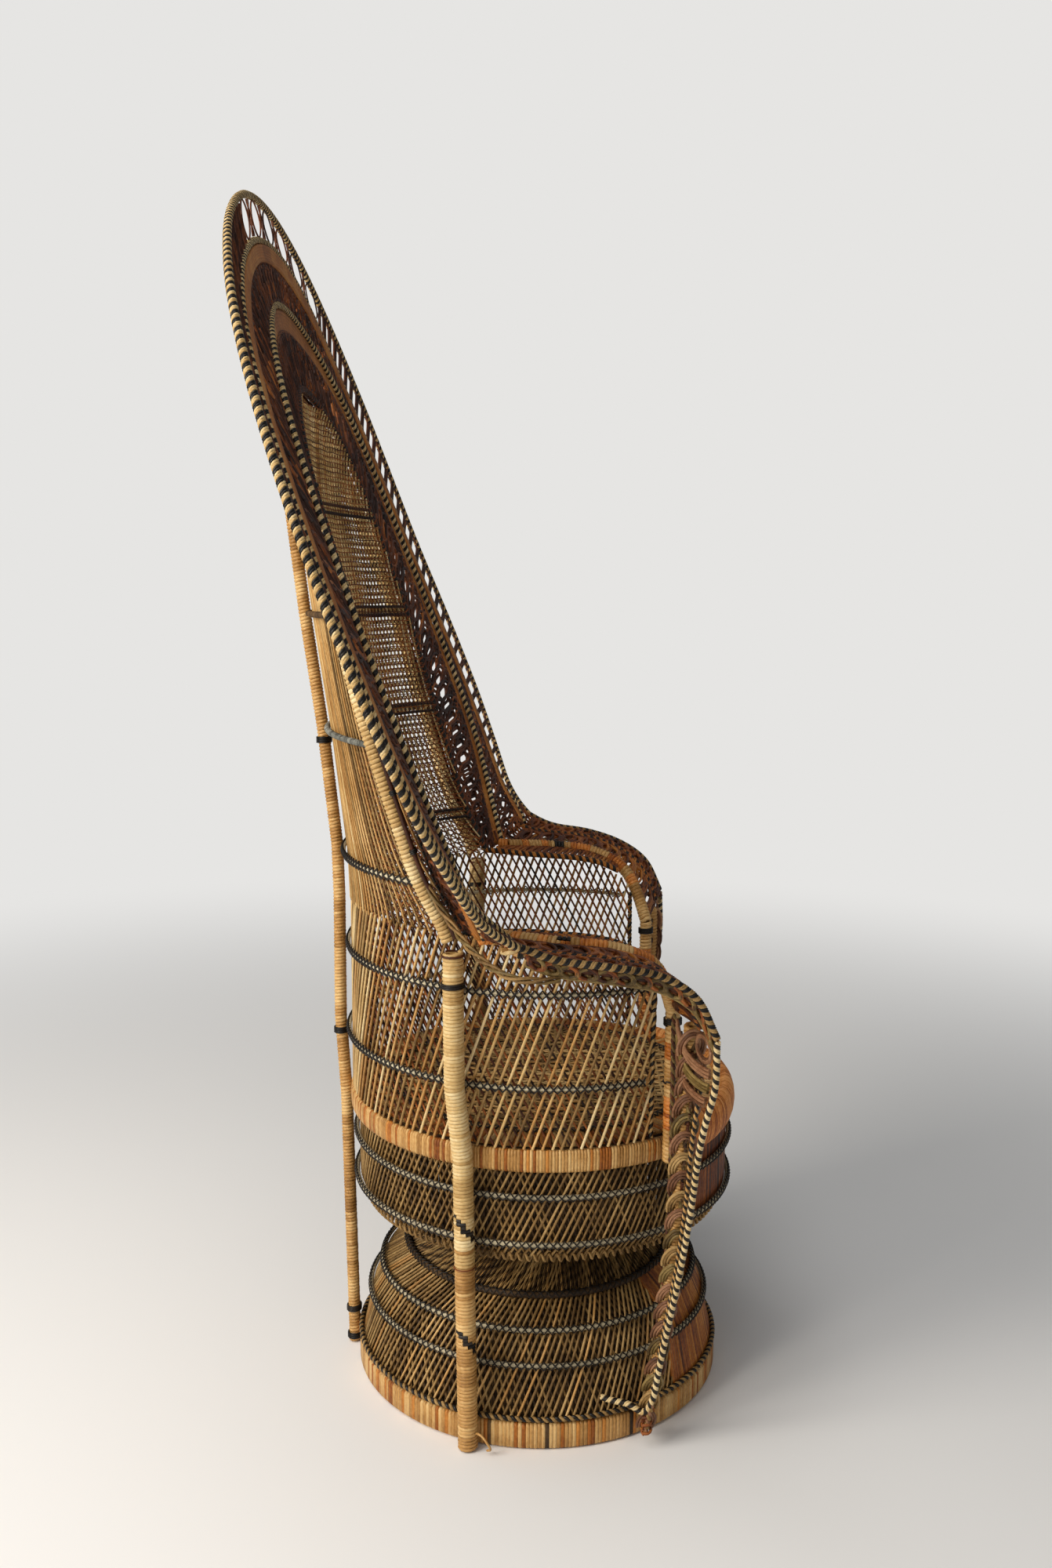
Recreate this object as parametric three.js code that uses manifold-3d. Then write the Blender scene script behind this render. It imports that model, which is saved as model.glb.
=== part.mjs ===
// Peacock chair: a wicker armchair with a tall fan back, standing on an hourglass base.
// Millimetres, Z up, the front towards -Y. The origin is on the floor, under the middle of the chair.
import * as THREE from "three";
import { mergeVertices } from "three/addons/utils/BufferGeometryUtils.js";
import Module from "manifold-3d";

const wasm = await Module();
wasm.setup();

// Clearances
const touchGap = 0.35;
const cutGap = 0.5;
const stripGap = 0.6;
const rimGap = 0.85;
const ropeFlat = 0.75;
const poleFlat = 0.9;
const flatInset = 2.1;

// Sections of cane, rod and rope
const laceThickness = 5;
const bandThickness = 7;
const hoopRadius = 4;
const ropeRadius = 5;
const smallRopeRadius = 4;
const poleRadius = 11.5;
const rearPoleRadius = 8.5;
const railRadius = 9;
const rodRadius = 5;
const backRodRadius = 3;
const backRodTurn = 46;

// Foot hoop and the dome on it
const footRadius = 239;
const footHeight = 34;
const footThickness = 12;
const braidRadius = 3.2;
const domeFootRadius = 230;
const domeLowRadius = 217;
const domeLowHeight = 97;
const domeMiddleRadius = 202;
const domeMiddleHeight = 131;
const domeTopRadius = 170;
const domeTopHeight = 157;
const waistRadius = 96;
const waistHeight = 200;
const waistSeat = 1.8;

// Bowl under the seat
const seatShift = -5;
const bowlRadius = 238;
const bowlFootRadius = 227;
const bowlFootHeight = 240;
const bowlLowHeight = 262;
const bowlHighHeight = 320;

// Seat
const bandRadius = 252;
const bandDepth = 9;
const bandLow = 352;
const bandHigh = 380;
const deckThickness = 6;
const deckDrop = 2;
const throatTopRadius = 198;
const rollHalfDepth = 13;
const rollHalfHeight = 26;
const deckClearance = 4.6;

// Basket wall round the seat
const wallFootHalfWidth = 247.5;
const wallLowHalfWidth = 252;
const wallHighHalfWidth = 267;
const wallTopHalfWidth = 270;
const wallHalfDepth = 246;
const wallLowHeight = 456;
const wallHighHeight = 582;
const wallCrown = 45.8;
const wallTop = wallHighHeight + wallCrown;
const postAngle = 34.7;
const postClearAngle = 2.2;

// Fan back
const fanTop = 1463;
const fanHalfWidth = 622;
const fanFoot = 650;
const fanForward = 36;
const fanLean = 22.1;
const crestBow = 31;
const crestBowFoot = 1050;
const crestBowPower = 1.7;
const panelTop = 1256;
const panelHalfWidth = 284;
const panelFoot = 634;
const panelDish = 59;

// Back of the panel
const backRearDepths = [241, 243, 260, 280, 298, 304];
const backRearHeights = [620, 687, 841, 980, 1128, 1256];
const backHoopRises = [62.2, 217.2, 357.2, 492.2];
const backHoopHeights = backHoopRises.map((rise) => wallTop + rise);
const backHoopSeats = [0, 0.4, 0.8, 1.4];
const backRound = 480;
const panelTopDrop = 22;
const rearPoleTop = 1330;
const poleFootAngle = 18.8;
const poleBandAngle = 20.4;
const poleTopAngle = 21.8;

// Arms, back to front
const armHalfWidth = 404;
const armRimHeight = 645;
const armRimBack = -10;
const armRimIn = [3, 24, 34];
const armRimDepths = [-72, -128, -163];
const armRimDrops = [7, 23, 48];
const armFront = 186;
const armCornerIn = 42;
const armCornerHeight = 552;
const armRailIn = [114, 120, 141, 163];
const armRailDepths = [-20, -80, -122, -141];
const armRailHeights = [633, 626, 606, 576];
const armInnerIn = 171;
const armInnerDrop = 4;
const postTop = 538;
const armStart = 12;

// Skirts below the front of the arms, top to bottom
const skirtTopDrop = 16;
const skirtRimDrop = 3;
const skirtInnerIn = [8, 14, 19.5];
const skirtInnerBack = [2, 12, 25];
const skirtFootHeight = 14;
const skirtRimHeights = [493, 450, 407, 348, 294, 221, 156, 80, 24];
const skirtRimHalfWidths = [350, 336, 321, 301, 285, 266, 251, 239, 233];
const skirtRimDepths = [-187, -180, -175, -172, -168, -160, -151, -140, -131];

// Counts
const roundColumns = 18;
const wallColumns = 16;
const backColumns = 6;
const backRunSteps = 10;
const fanStations = 28;
const armStations = 8;
const skirtStations = 9;
const closeLaceRows = 2;
const facingColumns = 3;
const curveDivisions = 400;
const ringSides = 4;
const ropeSides = 5;
const poleSides = 8;

// Shares of open space in the woven pieces
const netShare = 0.86;
const baseNetShare = 0.8;
const laceShare = 0.7;
const windowShare = 0.72;
const closeLaceShare = 0.6;

// Outlines as shares: first of the half width, second of the height above the fan's foot
const rimShares = [
  [0.655, 0], [0.725, 0.037], [0.845, 0.106], [0.94, 0.183], [0.985, 0.241], [1, 0.308], [0.998, 0.38],
  [0.98, 0.452], [0.94, 0.547], [0.88, 0.658], [0.79, 0.757], [0.66, 0.841], [0.505, 0.91], [0.27, 0.975],
];
const panelShares = [
  [0.88, 0], [0.925, 0.106], [0.96, 0.203], [0.985, 0.355], [0.98, 0.45], [0.945, 0.572],
  [0.9, 0.686], [0.83, 0.794], [0.69, 0.885], [0.45, 0.955], [0.22, 0.99],
];
const dishShares = [0.9, 1, 0.92, 0.76, 0.64, 0.5, 0.42, 0.34, 0.26, 0.22, 0.24];
const dishTopShare = 0.25;

// Places of the ropes and bands across the fan, from rim to panel
const outerRopeShare = 0.22;
const outerBandSideShare = 0.3;
const outerBandTopShare = 0.336;
const innerRopeShare = 0.546;
const innerRopeCornerShare = 0.74;
const innerBandSideShare = 0.63;
const innerBandTopShare = 0.697;
const innerBandCornerShare = 0.86;
const cornerLengthShare = 0.14;
const crescentLengthShare = 0.2;
const armRailShare = 0.8;
const armMiddleShare = 0.66;
const hoopLengthShare = 0.96;
const armInnerLengthShare = 0.62;
const rearTopLean = 0.1;
const shareTolerance = 1e-6;

const colours = {
  honey: 0xc09a5c,
  pale: 0xcdb07a,
  orange: 0xb9773a,
  stained: 0x2a201a,
  lace: 0x7a4f33,
  lattice: 0xa98a5b,
  grey: 0x9a958a,
};

const chair = new THREE.Group();

// Adds one named sub-part with its own finish.
function addPiece(name, geometry, colour, roughness) {
  const material = new THREE.MeshStandardMaterial({ color: colour, roughness, metalness: 0 });
  const mesh = new THREE.Mesh(facesOut(geometry), material);
  mesh.name = name;
  chair.add(mesh);
}

// Signed volume of a closed indexed geometry.
function volumeOf(geometry) {
  const place = geometry.attributes.position;
  const index = geometry.index.array;
  const a = new THREE.Vector3();
  const b = new THREE.Vector3();
  const c = new THREE.Vector3();
  let volume = 0;
  for (let i = 0; i < index.length; i += 3) {
    a.fromBufferAttribute(place, index[i]);
    b.fromBufferAttribute(place, index[i + 1]);
    c.fromBufferAttribute(place, index[i + 2]);
    volume += a.dot(b.cross(c)) / 6;
  }
  return volume;
}

// Merges shared vertices and turns the faces outwards.
function facesOut(geometry) {
  const bare = geometry.clone();
  bare.deleteAttribute("normal");
  bare.deleteAttribute("uv");
  const merged = mergeVertices(bare);
  if (volumeOf(merged) < 0) {
    const index = merged.index.array;
    for (let i = 0; i < index.length; i += 3) {
      [index[i + 1], index[i + 2]] = [index[i + 2], index[i + 1]];
    }
  }
  merged.computeVertexNormals();
  return merged;
}

function toSolid(geometry) {
  const merged = facesOut(geometry);
  return new wasm.Manifold(
    new wasm.Mesh({
      numProp: 3,
      vertProperties: merged.attributes.position.array,
      triVerts: new Uint32Array(merged.index.array),
    }),
  );
}

function fromSolid(solid) {
  const mesh = solid.getMesh();
  const geometry = new THREE.BufferGeometry();
  geometry.setAttribute("position", new THREE.BufferAttribute(mesh.vertProperties, 3));
  geometry.setIndex(new THREE.BufferAttribute(mesh.triVerts, 1));
  return geometry;
}

// A path that passes its stations in even steps, whatever their spacing.
class StationPath extends THREE.Curve {
  constructor(stations) {
    super();
    this.stations = stations;
  }
  getPoint(share) {
    const last = this.stations.length - 1;
    const place = share * last;
    const before = Math.min(Math.floor(place), last - 1);
    return this.stations[before].clone().lerp(this.stations[before + 1], place - before);
  }
  getPointAt(share) {
    return this.getPoint(share);
  }
  getTangentAt(share) {
    const last = this.stations.length - 1;
    const here = Math.round(share * last);
    const ahead = this.stations[Math.min(here + 1, last)];
    const behind = this.stations[Math.max(here - 1, 0)];
    return ahead.clone().sub(behind).normalize();
  }
}

// A rod, pole or rope along stations, with a many-sided or oval section.
function rodAlong(stations, halfWidth, sides, halfHeight = halfWidth) {
  const corners = [];
  for (let k = 0; k < sides; k += 1) {
    const turn = ((k + 0.5) * 2 * Math.PI) / sides;
    corners.push(new THREE.Vector2(Math.cos(turn) * halfWidth, Math.sin(turn) * halfHeight));
  }
  return new THREE.ExtrudeGeometry(new THREE.Shape(corners), {
    steps: stations.length - 1,
    bevelEnabled: false,
    extrudePath: new StationPath(stations),
  });
}

// A smooth run of stations through a few points.
function smoothStations(points, count) {
  return new THREE.CatmullRomCurve3(points, false, "centripetal").getSpacedPoints(count);
}

// A ring spun from a closed outline of [radius, height] corners.
function spunRing(outline, shift = 0, columns = roundColumns) {
  const corners = [...outline, outline[0]].map(([r, z]) => new THREE.Vector2(r, z));
  const geometry = new THREE.LatheGeometry(corners, columns);
  geometry.rotateX(Math.PI / 2);
  geometry.translate(0, shift, 0);
  return geometry;
}

function hoopOutline(radius, height, section = hoopRadius, tilt = 0) {
  const outline = [];
  for (let k = 0; k < ringSides; k += 1) {
    const turn = tilt + (k * 2 * Math.PI) / ringSides;
    outline.push([radius + Math.cos(turn) * section, height + Math.sin(turn) * section]);
  }
  return outline;
}

// A woven wall: a thin shell over a grid of places, with one hole in each open cell.
// place(i, j) gives the middle of the wall at a grid corner and out(i, j) its outward direction.
// The last rows, and some columns on each side of the front, can stay closed.
function wovenWall(options) {
  const { columns, rows, closed, place, out, thickness, hole, holeShare } = options;
  const { solidRows = 0, solidColumns = 0 } = options;
  const across = closed ? columns : columns + 1;
  const position = [];
  const index = [];
  const corner = [];
  for (let j = 0; j <= rows; j += 1) {
    for (let i = 0; i < across; i += 1) {
      const middle = place(i, j);
      const step = out(i, j).clone().multiplyScalar(thickness / 2);
      corner.push([middle.clone().add(step), middle.clone().sub(step)]);
      position.push(...middle.clone().add(step), ...middle.clone().sub(step));
    }
  }
  const at = (i, j) => j * across + (i % across);
  const face = (a, b, c) => {
    index.push(2 * a, 2 * b, 2 * c);
    index.push(2 * a + 1, 2 * c + 1, 2 * b + 1);
  };
  const edge = (a, b) => {
    index.push(2 * a, 2 * b, 2 * b + 1);
    index.push(2 * a, 2 * b + 1, 2 * a + 1);
  };
  for (let j = 0; j < rows; j += 1) {
    for (let i = 0; i < columns; i += 1) {
      const quad = [at(i, j), at(i + 1, j), at(i + 1, j + 1), at(i, j + 1)];
      if (j >= rows - solidRows || i < solidColumns || i >= columns - solidColumns) {
        face(quad[0], quad[1], quad[2]);
        face(quad[0], quad[2], quad[3]);
        continue;
      }
      const first = position.length / 6;
      for (let k = 0; k < 4; k += 1) {
        for (let layer = 0; layer < 2; layer += 1) {
          const [p, q, r, s] = [0, 1, 2, 3].map((m) => corner[quad[(k + m) % 4]][layer]);
          const centre = p.clone().add(q).add(r).add(s).multiplyScalar(1 / 4);
          const reach = hole === "window" ? p.clone() : p.clone().add(q).multiplyScalar(1 / 2);
          const share = Array.isArray(holeShare) ? holeShare[k % 2] : holeShare;
          position.push(...centre.lerp(reach, share));
        }
      }
      for (let k = 0; k < 4; k += 1) {
        const next = (k + 1) % 4;
        const hereHole = first + k;
        const nextHole = first + next;
        if (hole === "window") {
          face(quad[k], quad[next], nextHole);
          face(quad[k], nextHole, hereHole);
        } else {
          face(quad[k], quad[next], hereHole);
          face(quad[next], nextHole, hereHole);
        }
        edge(hereHole, nextHole);
      }
    }
  }
  for (let i = 0; i < columns; i += 1) {
    edge(at(i + 1, 0), at(i, 0));
    edge(at(i, rows), at(i + 1, rows));
  }
  if (!closed) {
    for (let j = 0; j < rows; j += 1) {
      edge(at(0, j), at(0, j + 1));
      edge(at(columns, j + 1), at(columns, j));
    }
  }
  const geometry = new THREE.BufferGeometry();
  geometry.setAttribute("position", new THREE.Float32BufferAttribute(position, 3));
  geometry.setIndex(index);
  return geometry;
}

// A woven wall spun from [radius, height] rows.
function spunWall(profile, shift, options) {
  const turn = (i) => (i * 2 * Math.PI) / roundColumns;
  const rows = profile.length - 1;
  return wovenWall({
    columns: roundColumns,
    rows,
    closed: true,
    place: (i, j) => {
      const [r, z] = profile[j];
      return new THREE.Vector3(r * Math.sin(turn(i)), shift - r * Math.cos(turn(i)), z);
    },
    out: (i, j) => {
      const [fromR, fromZ] = profile[Math.max(j - 1, 0)];
      const [toR, toZ] = profile[Math.min(j + 1, rows)];
      const flat = new THREE.Vector2(toZ - fromZ, fromR - toR).normalize();
      return new THREE.Vector3(flat.x * Math.sin(turn(i)), -flat.x * Math.cos(turn(i)), flat.y);
    },
    thickness: laceThickness,
    ...options,
  });
}

// Value between listed places, by straight lines.
function between(places, values, at) {
  if (at <= places[0]) return values[0];
  for (let k = 1; k < places.length; k += 1) {
    if (at <= places[k]) {
      const share = (at - places[k - 1]) / (places[k] - places[k - 1]);
      return values[k - 1] + (values[k] - values[k - 1]) * share;
    }
  }
  return values[values.length - 1];
}

function mirrored(point) {
  return new THREE.Vector3(-point.x, point.y, point.z);
}

// The same piece on both sides: the sitter's left is +X.
function addPair(name, makeGeometry, colour, roughness) {
  const left = makeGeometry();
  addPiece(`${name}_left`, left, colour, roughness);
  const right = makeGeometry();
  right.scale(-1, 1, 1);
  addPiece(`${name}_right`, right, colour, roughness);
}

// Base: foot hoop, dome, waist and throat
const domeProfile = [
  [domeFootRadius, footHeight + touchGap],
  [domeLowRadius, domeLowHeight],
  [domeMiddleRadius, domeMiddleHeight],
  [domeTopRadius, domeTopHeight],
  [waistRadius, waistHeight],
];
const hoopStandOff = laceThickness / 2 + touchGap + hoopRadius;

function domeHoop(row) {
  const [fromR, fromZ] = domeProfile[row - 1];
  const [toR, toZ] = domeProfile[row + 1];
  const out = new THREE.Vector2(toZ - fromZ, fromR - toR).normalize();
  const [r, z] = domeProfile[row];
  return spunRing(hoopOutline(r + out.x * hoopStandOff, z + out.y * hoopStandOff, hoopRadius, out.angle()));
}

function makeBase() {
  const inner = footRadius - footThickness;
  const edge = footThickness / 4;
  addPiece(
    "foot_hoop",
    spunRing([
      [inner + edge, 0],
      [footRadius - edge, 0],
      [footRadius, edge],
      [footRadius, footHeight - edge],
      [footRadius - edge, footHeight],
      [inner + edge, footHeight],
      [inner, footHeight - edge],
      [inner, edge],
    ]),
    colours.honey,
    0.6,
  );
  const holes = { hole: "diamond", holeShare: baseNetShare, solidRows: 1, solidColumns: facingColumns };
  addPiece("dome_wall", spunWall(domeProfile, 0, holes), colours.lattice, 0.7);
  const braidReach = domeFootRadius + laceThickness / 2 + braidRadius + touchGap;
  addPiece(
    "foot_braid",
    spunRing(hoopOutline(braidReach, footHeight + braidRadius + touchGap, braidRadius)),
    colours.stained,
    0.6,
  );
  addPiece("dome_hoop_low", domeHoop(1), colours.grey, 0.6);
  addPiece("dome_hoop_middle", domeHoop(2), colours.grey, 0.6);
  addPiece("dome_hoop_top", domeHoop(3), colours.grey, 0.6);
  addPiece(
    "waist_hoop",
    spunRing(hoopOutline(waistRadius, waistHeight + waistSeat + hoopRadius)),
    colours.stained,
    0.6,
  );
}

function makeBowl(rollCutter) {
  const throatLow = waistHeight + laceThickness / 2 + 2 * hoopRadius + 2 * touchGap;
  const throatHigh = bandHigh - deckDrop - deckThickness - touchGap;
  const half = laceThickness / 2;
  addPiece(
    "throat_wall",
    spunRing([
      [waistRadius - half, throatLow],
      [waistRadius + half, throatLow],
      [throatTopRadius + half, throatHigh],
      [throatTopRadius - half, throatHigh],
    ], seatShift / 2),
    colours.lattice,
    0.7,
  );
  const profile = [
    [bowlFootRadius, bowlFootHeight],
    [bowlRadius, bowlLowHeight],
    [bowlRadius, bandLow - touchGap],
  ];
  const holes = { hole: "diamond", holeShare: baseNetShare, solidColumns: facingColumns };
  const wall = spunWall(profile, seatShift, holes);
  addPiece("bowl_wall", fromSolid(toSolid(wall).subtract(rollCutter)), colours.lattice, 0.7);
  const ring = bowlRadius + hoopStandOff + touchGap;
  addPiece("bowl_hoop_low", spunRing(hoopOutline(ring, bowlLowHeight), seatShift), colours.grey, 0.6);
  addPiece("bowl_hoop_high", spunRing(hoopOutline(ring, bowlHighHeight), seatShift), colours.grey, 0.6);
}

// Seat: band, roll, deck and what carries it
function onRound(radius, degrees, height) {
  const turn = THREE.MathUtils.degToRad(degrees);
  return new THREE.Vector3(radius * Math.cos(turn), seatShift + radius * Math.sin(turn), height);
}

const bandEndAngle = 38;
const rollGapAngle = 0.3;
const rollCutAngle = 0.15;

function rollStations(gapAngle) {
  const stations = [];
  const steps = 8;
  const from = -bandEndAngle - gapAngle;
  const to = -180 - from;
  for (let k = 0; k <= steps; k += 1) {
    const radius = bandRadius - rollHalfDepth;
    stations.push(onRound(radius, from + ((to - from) * k) / steps, (bandLow + bandHigh) / 2));
  }
  return stations;
}

function rollGeometry(gapAngle, grow) {
  return rodAlong(rollStations(gapAngle), rollHalfHeight + grow, poleSides, rollHalfDepth + grow);
}

function bandGeometry() {
  const steps = 16;
  const inner = bandRadius - bandDepth;
  const middle = (bandRadius + inner) / 2;
  const stations = [];
  for (let k = 0; k <= steps; k += 1) {
    const degrees = -bandEndAngle + ((180 + 2 * bandEndAngle) * k) / steps;
    stations.push(onRound(middle, degrees, (bandLow + bandHigh) / 2));
  }
  return wovenWall({
    columns: steps,
    rows: 1,
    closed: false,
    place: (i, j) => stations[i].clone().setZ(j ? bandHigh : bandLow),
    out: (i) => stations[i].clone().setZ(0).sub(new THREE.Vector3(0, seatShift, 0)).normalize(),
    thickness: bandDepth,
    solidRows: 1,
  });
}

function makeSeat(rollCutter) {
  addPiece("seat_band", bandGeometry(), colours.honey, 0.55);
  addPiece("seat_front_roll", rollGeometry(rollGapAngle, 0), colours.orange, 0.55);
  const deckTop = bandHigh - deckDrop;
  const deckLow = deckTop - deckThickness;
  const deck = new THREE.CylinderGeometry(1, 1, deckThickness, 2 * roundColumns);
  deck.rotateX(Math.PI / 2);
  const deckRadius = bandRadius - bandDepth - deckClearance;
  deck.scale(deckRadius, deckRadius, 1);
  deck.translate(0, seatShift, deckLow + deckThickness / 2);
  addPiece("seat_deck", fromSolid(toSolid(deck).subtract(rollCutter)), colours.lattice, 0.75);
}

// Basket wall round the seat, with its hoops
function wallHalfWidth(z) {
  return between(
    [bandHigh, wallLowHeight, wallHighHeight, wallTop],
    [wallFootHalfWidth, wallLowHalfWidth, wallHighHalfWidth, wallTopHalfWidth],
    z,
  );
}

function onWall(degrees, z, off = 0) {
  const turn = THREE.MathUtils.degToRad(degrees);
  const a = wallHalfWidth(z);
  const out = new THREE.Vector3(Math.cos(turn) / a, Math.sin(turn) / wallHalfDepth, 0).normalize();
  const place = new THREE.Vector3(a * Math.cos(turn), seatShift + wallHalfDepth * Math.sin(turn), z);
  return place.addScaledVector(out, off);
}

const armDrop = 48;
const wallEndAngle = postAngle - postClearAngle;

function wallAngle(i) {
  return -wallEndAngle + ((180 + 2 * wallEndAngle) * i) / wallColumns;
}

// The wall's top drops with the arm rail near the front posts.
function wallTopAt(degrees) {
  const front = degrees < 90 ? degrees : 180 - degrees;
  return wallTop - between([-wallEndAngle, -wallEndAngle / 2, 0], [armDrop, armDrop / 5, 0], front);
}
const wallRowHeights = [bandHigh + touchGap, wallLowHeight, wallHighHeight - armDrop / 4];

function makeBasket() {
  addPiece(
    "basket_wall",
    wovenWall({
      columns: wallColumns,
      rows: wallRowHeights.length,
      closed: false,
      place: (i, j) => {
        const z = j < wallRowHeights.length ? wallRowHeights[j] : wallTopAt(wallAngle(i));
        return onWall(wallAngle(i), z);
      },
      out: (i, j) => onWall(wallAngle(i), wallHighHeight, 1).sub(onWall(wallAngle(i), wallHighHeight)),
      thickness: laceThickness,
      hole: "diamond",
      holeShare: netShare,
    }),
    colours.pale,
    0.7,
  );
  for (const [name, z] of [["low", wallRowHeights[1]], ["high", wallRowHeights[2]]]) {
    const stations = [];
    for (let i = 0; i <= wallColumns; i += 1) {
      const degrees = 90 + (wallAngle(i) - 90) * hoopLengthShare;
      stations.push(onWall(degrees, z, hoopStandOff + 2 * touchGap));
    }
    addPiece(`basket_hoop_${name}`, rodAlong(stations, hoopRadius, ringSides), colours.grey, 0.6);
  }
}

// Fan surface
function fanPlane(z) {
  return fanForward + (z - fanFoot) * Math.tan(THREE.MathUtils.degToRad(fanLean));
}

// How far the crest curls forward of the leaning plane.
function crestForward(z) {
  const rise = Math.max(z - crestBowFoot, 0) / (fanTop - crestBowFoot);
  return crestBow * rise ** crestBowPower;
}

function archCurve(shares, halfWidth, low, high, dishes, topDish) {
  const right = shares.map(([w, h], k) => {
    const z = low + (high - low) * h;
    return new THREE.Vector3(-w * halfWidth, fanPlane(z) + dishes[k] * panelDish, z);
  });
  const top = new THREE.Vector3(0, fanPlane(high) + topDish * panelDish, high);
  const left = right.map(mirrored).reverse();
  return new THREE.CatmullRomCurve3([...right, top, ...left], false, "centripetal");
}

const rimCurve = archCurve(rimShares, fanHalfWidth, fanFoot, fanTop, rimShares.map(() => 0), 0);
const panelCurve = archCurve(panelShares, panelHalfWidth, panelFoot, panelTop, dishShares, dishTopShare);
rimCurve.arcLengthDivisions = curveDivisions;
panelCurve.arcLengthDivisions = curveDivisions;

// Place on the fan at a station: level 0 is the rim, 1 the panel's edge.
function onFan(k, level) {
  const rim = rimCurve.getPointAt(k / fanStations);
  const panel = panelCurve.getPointAt(k / fanStations);
  const dish = panel.y - fanPlane(panel.z);
  const place = rim.lerp(panel, level);
  place.y = fanPlane(place.z) + dish * level * level - crestForward(place.z) * (1 - level);
  return place;
}

// How near a station is to the top of the arch or to one of its feet, from 0 to 1.
function nearTop(k) {
  const away = Math.abs(k / fanStations - 0.5) / crescentLengthShare;
  return away < 1 ? Math.cos((away * Math.PI) / 2) ** 2 : 0;
}

function nearFoot(k) {
  const away = Math.min(k, fanStations - k) / fanStations / cornerLengthShare;
  return away < 1 ? (1 - away) ** 2 : 0;
}

// Stations all along the arch at a level that shifts at its top and its feet.
function fanRun(side, top = side, foot = side) {
  const run = [];
  for (let k = 0; k <= fanStations; k += 1) {
    run.push(onFan(k, side + (top - side) * nearTop(k) + (foot - side) * nearFoot(k)));
  }
  return run;
}

function directionAt(run, k) {
  return run[Math.min(k + 1, run.length - 1)].clone().sub(run[Math.max(k - 1, 0)]).normalize();
}

// A strip between two runs of stations, kept clear of what runs along each of them.
function stripBetween(from, fromOff, to, toOff, thickness, options) {
  const rows = options.rows || 1;
  const sides = from.map((start, k) => {
    const rung = to[k].clone().sub(start).normalize();
    const fromSkew = rung.clone().cross(directionAt(from, k)).length();
    const toSkew = rung.clone().cross(directionAt(to, k)).length();
    const low = start.clone().addScaledVector(rung, fromOff / fromSkew);
    const high = to[k].clone().addScaledVector(rung, -toOff / toSkew);
    return { low, high, rung };
  });
  return wovenWall({
    columns: from.length - 1,
    rows,
    closed: false,
    place: (k, j) => sides[k].low.clone().lerp(sides[k].high, j / rows),
    out: (k, j) => directionAt(from, k).lerp(directionAt(to, k), j / rows).cross(sides[k].rung).normalize(),
    thickness,
    ...options,
  });
}

const ropeOff = ropeRadius + stripGap;
const smallRopeOff = smallRopeRadius + stripGap;
const railOff = railRadius + stripGap;
const armRopeOff = ropeOff - ropeFlat;

function makeFan() {
  const rim = fanRun(0);
  const outerRope = fanRun(outerRopeShare);
  const outerBand = fanRun(outerBandSideShare, outerBandTopShare);
  const innerRope = fanRun(innerRopeShare, innerRopeShare, innerRopeCornerShare);
  const innerBand = fanRun(innerBandSideShare, innerBandTopShare, innerBandCornerShare);
  const panel = fanRun(1);
  const solid = { solidRows: 1 };
  const windows = { hole: "window", holeShare: windowShare };
  const close = { hole: "diamond", holeShare: closeLaceShare, rows: closeLaceRows };
  const addRope = (name, run, radius) =>
    addPiece(name, rodAlong(run, radius, ropeSides), colours.stained, 0.6);
  const addBand = (name, from, to) =>
    addPiece(name, stripBetween(from, ropeOff, to, 0, bandThickness, solid), colours.orange, 0.55);
  const addLace = (name, from, fromOff, to, toOff, holes) =>
    addPiece(name, stripBetween(from, fromOff, to, toOff, laceThickness, holes), colours.lace, 0.7);
  addRope("rim_rope", rim, ropeRadius);
  addLace("outer_lace", rim, ropeRadius + rimGap, outerRope, ropeOff - poleFlat / 2, windows);
  addRope("outer_rope", outerRope, ropeRadius);
  addBand("outer_band", outerRope, outerBand);
  addLace("middle_lace", outerBand, stripGap, innerRope, ropeOff, close);
  addRope("inner_rope", innerRope, ropeRadius);
  addBand("inner_band", innerRope, innerBand);
  addLace("inner_lace", innerBand, stripGap, panel, smallRopeOff, close);
  addRope("panel_rope", panel, smallRopeRadius);
}

// Back panel between the diagonal rails, with its hoops and poles
function panelEdgeShare(z) {
  let share = 0.5;
  let step = 0.25;
  while (step > shareTolerance) {
    share += panelCurve.getPointAt(share).z > z ? step : -step;
    step /= 2;
  }
  return share;
}

// Place on the back at a share across it, from -1 to 1, standing off its outer face.
function onBack(across, z, off = 0) {
  const share = panelEdgeShare(z);
  const edge = panelCurve.getPointAt(share);
  const slope = Math.abs(panelCurve.getTangentAt(share).z);
  const halfWidth = edge.x - (smallRopeOff + stripGap) / slope;
  const sag = between(backRearHeights, backRearDepths, z) - edge.y;
  const radius = (halfWidth ** 2 + sag ** 2) / (2 * sag);
  const turn = Math.asin((across * halfWidth) / radius);
  const centre = edge.y + sag - radius;
  const reach = radius + off;
  return new THREE.Vector3(reach * Math.sin(turn), centre + reach * Math.cos(turn), z);
}

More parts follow.
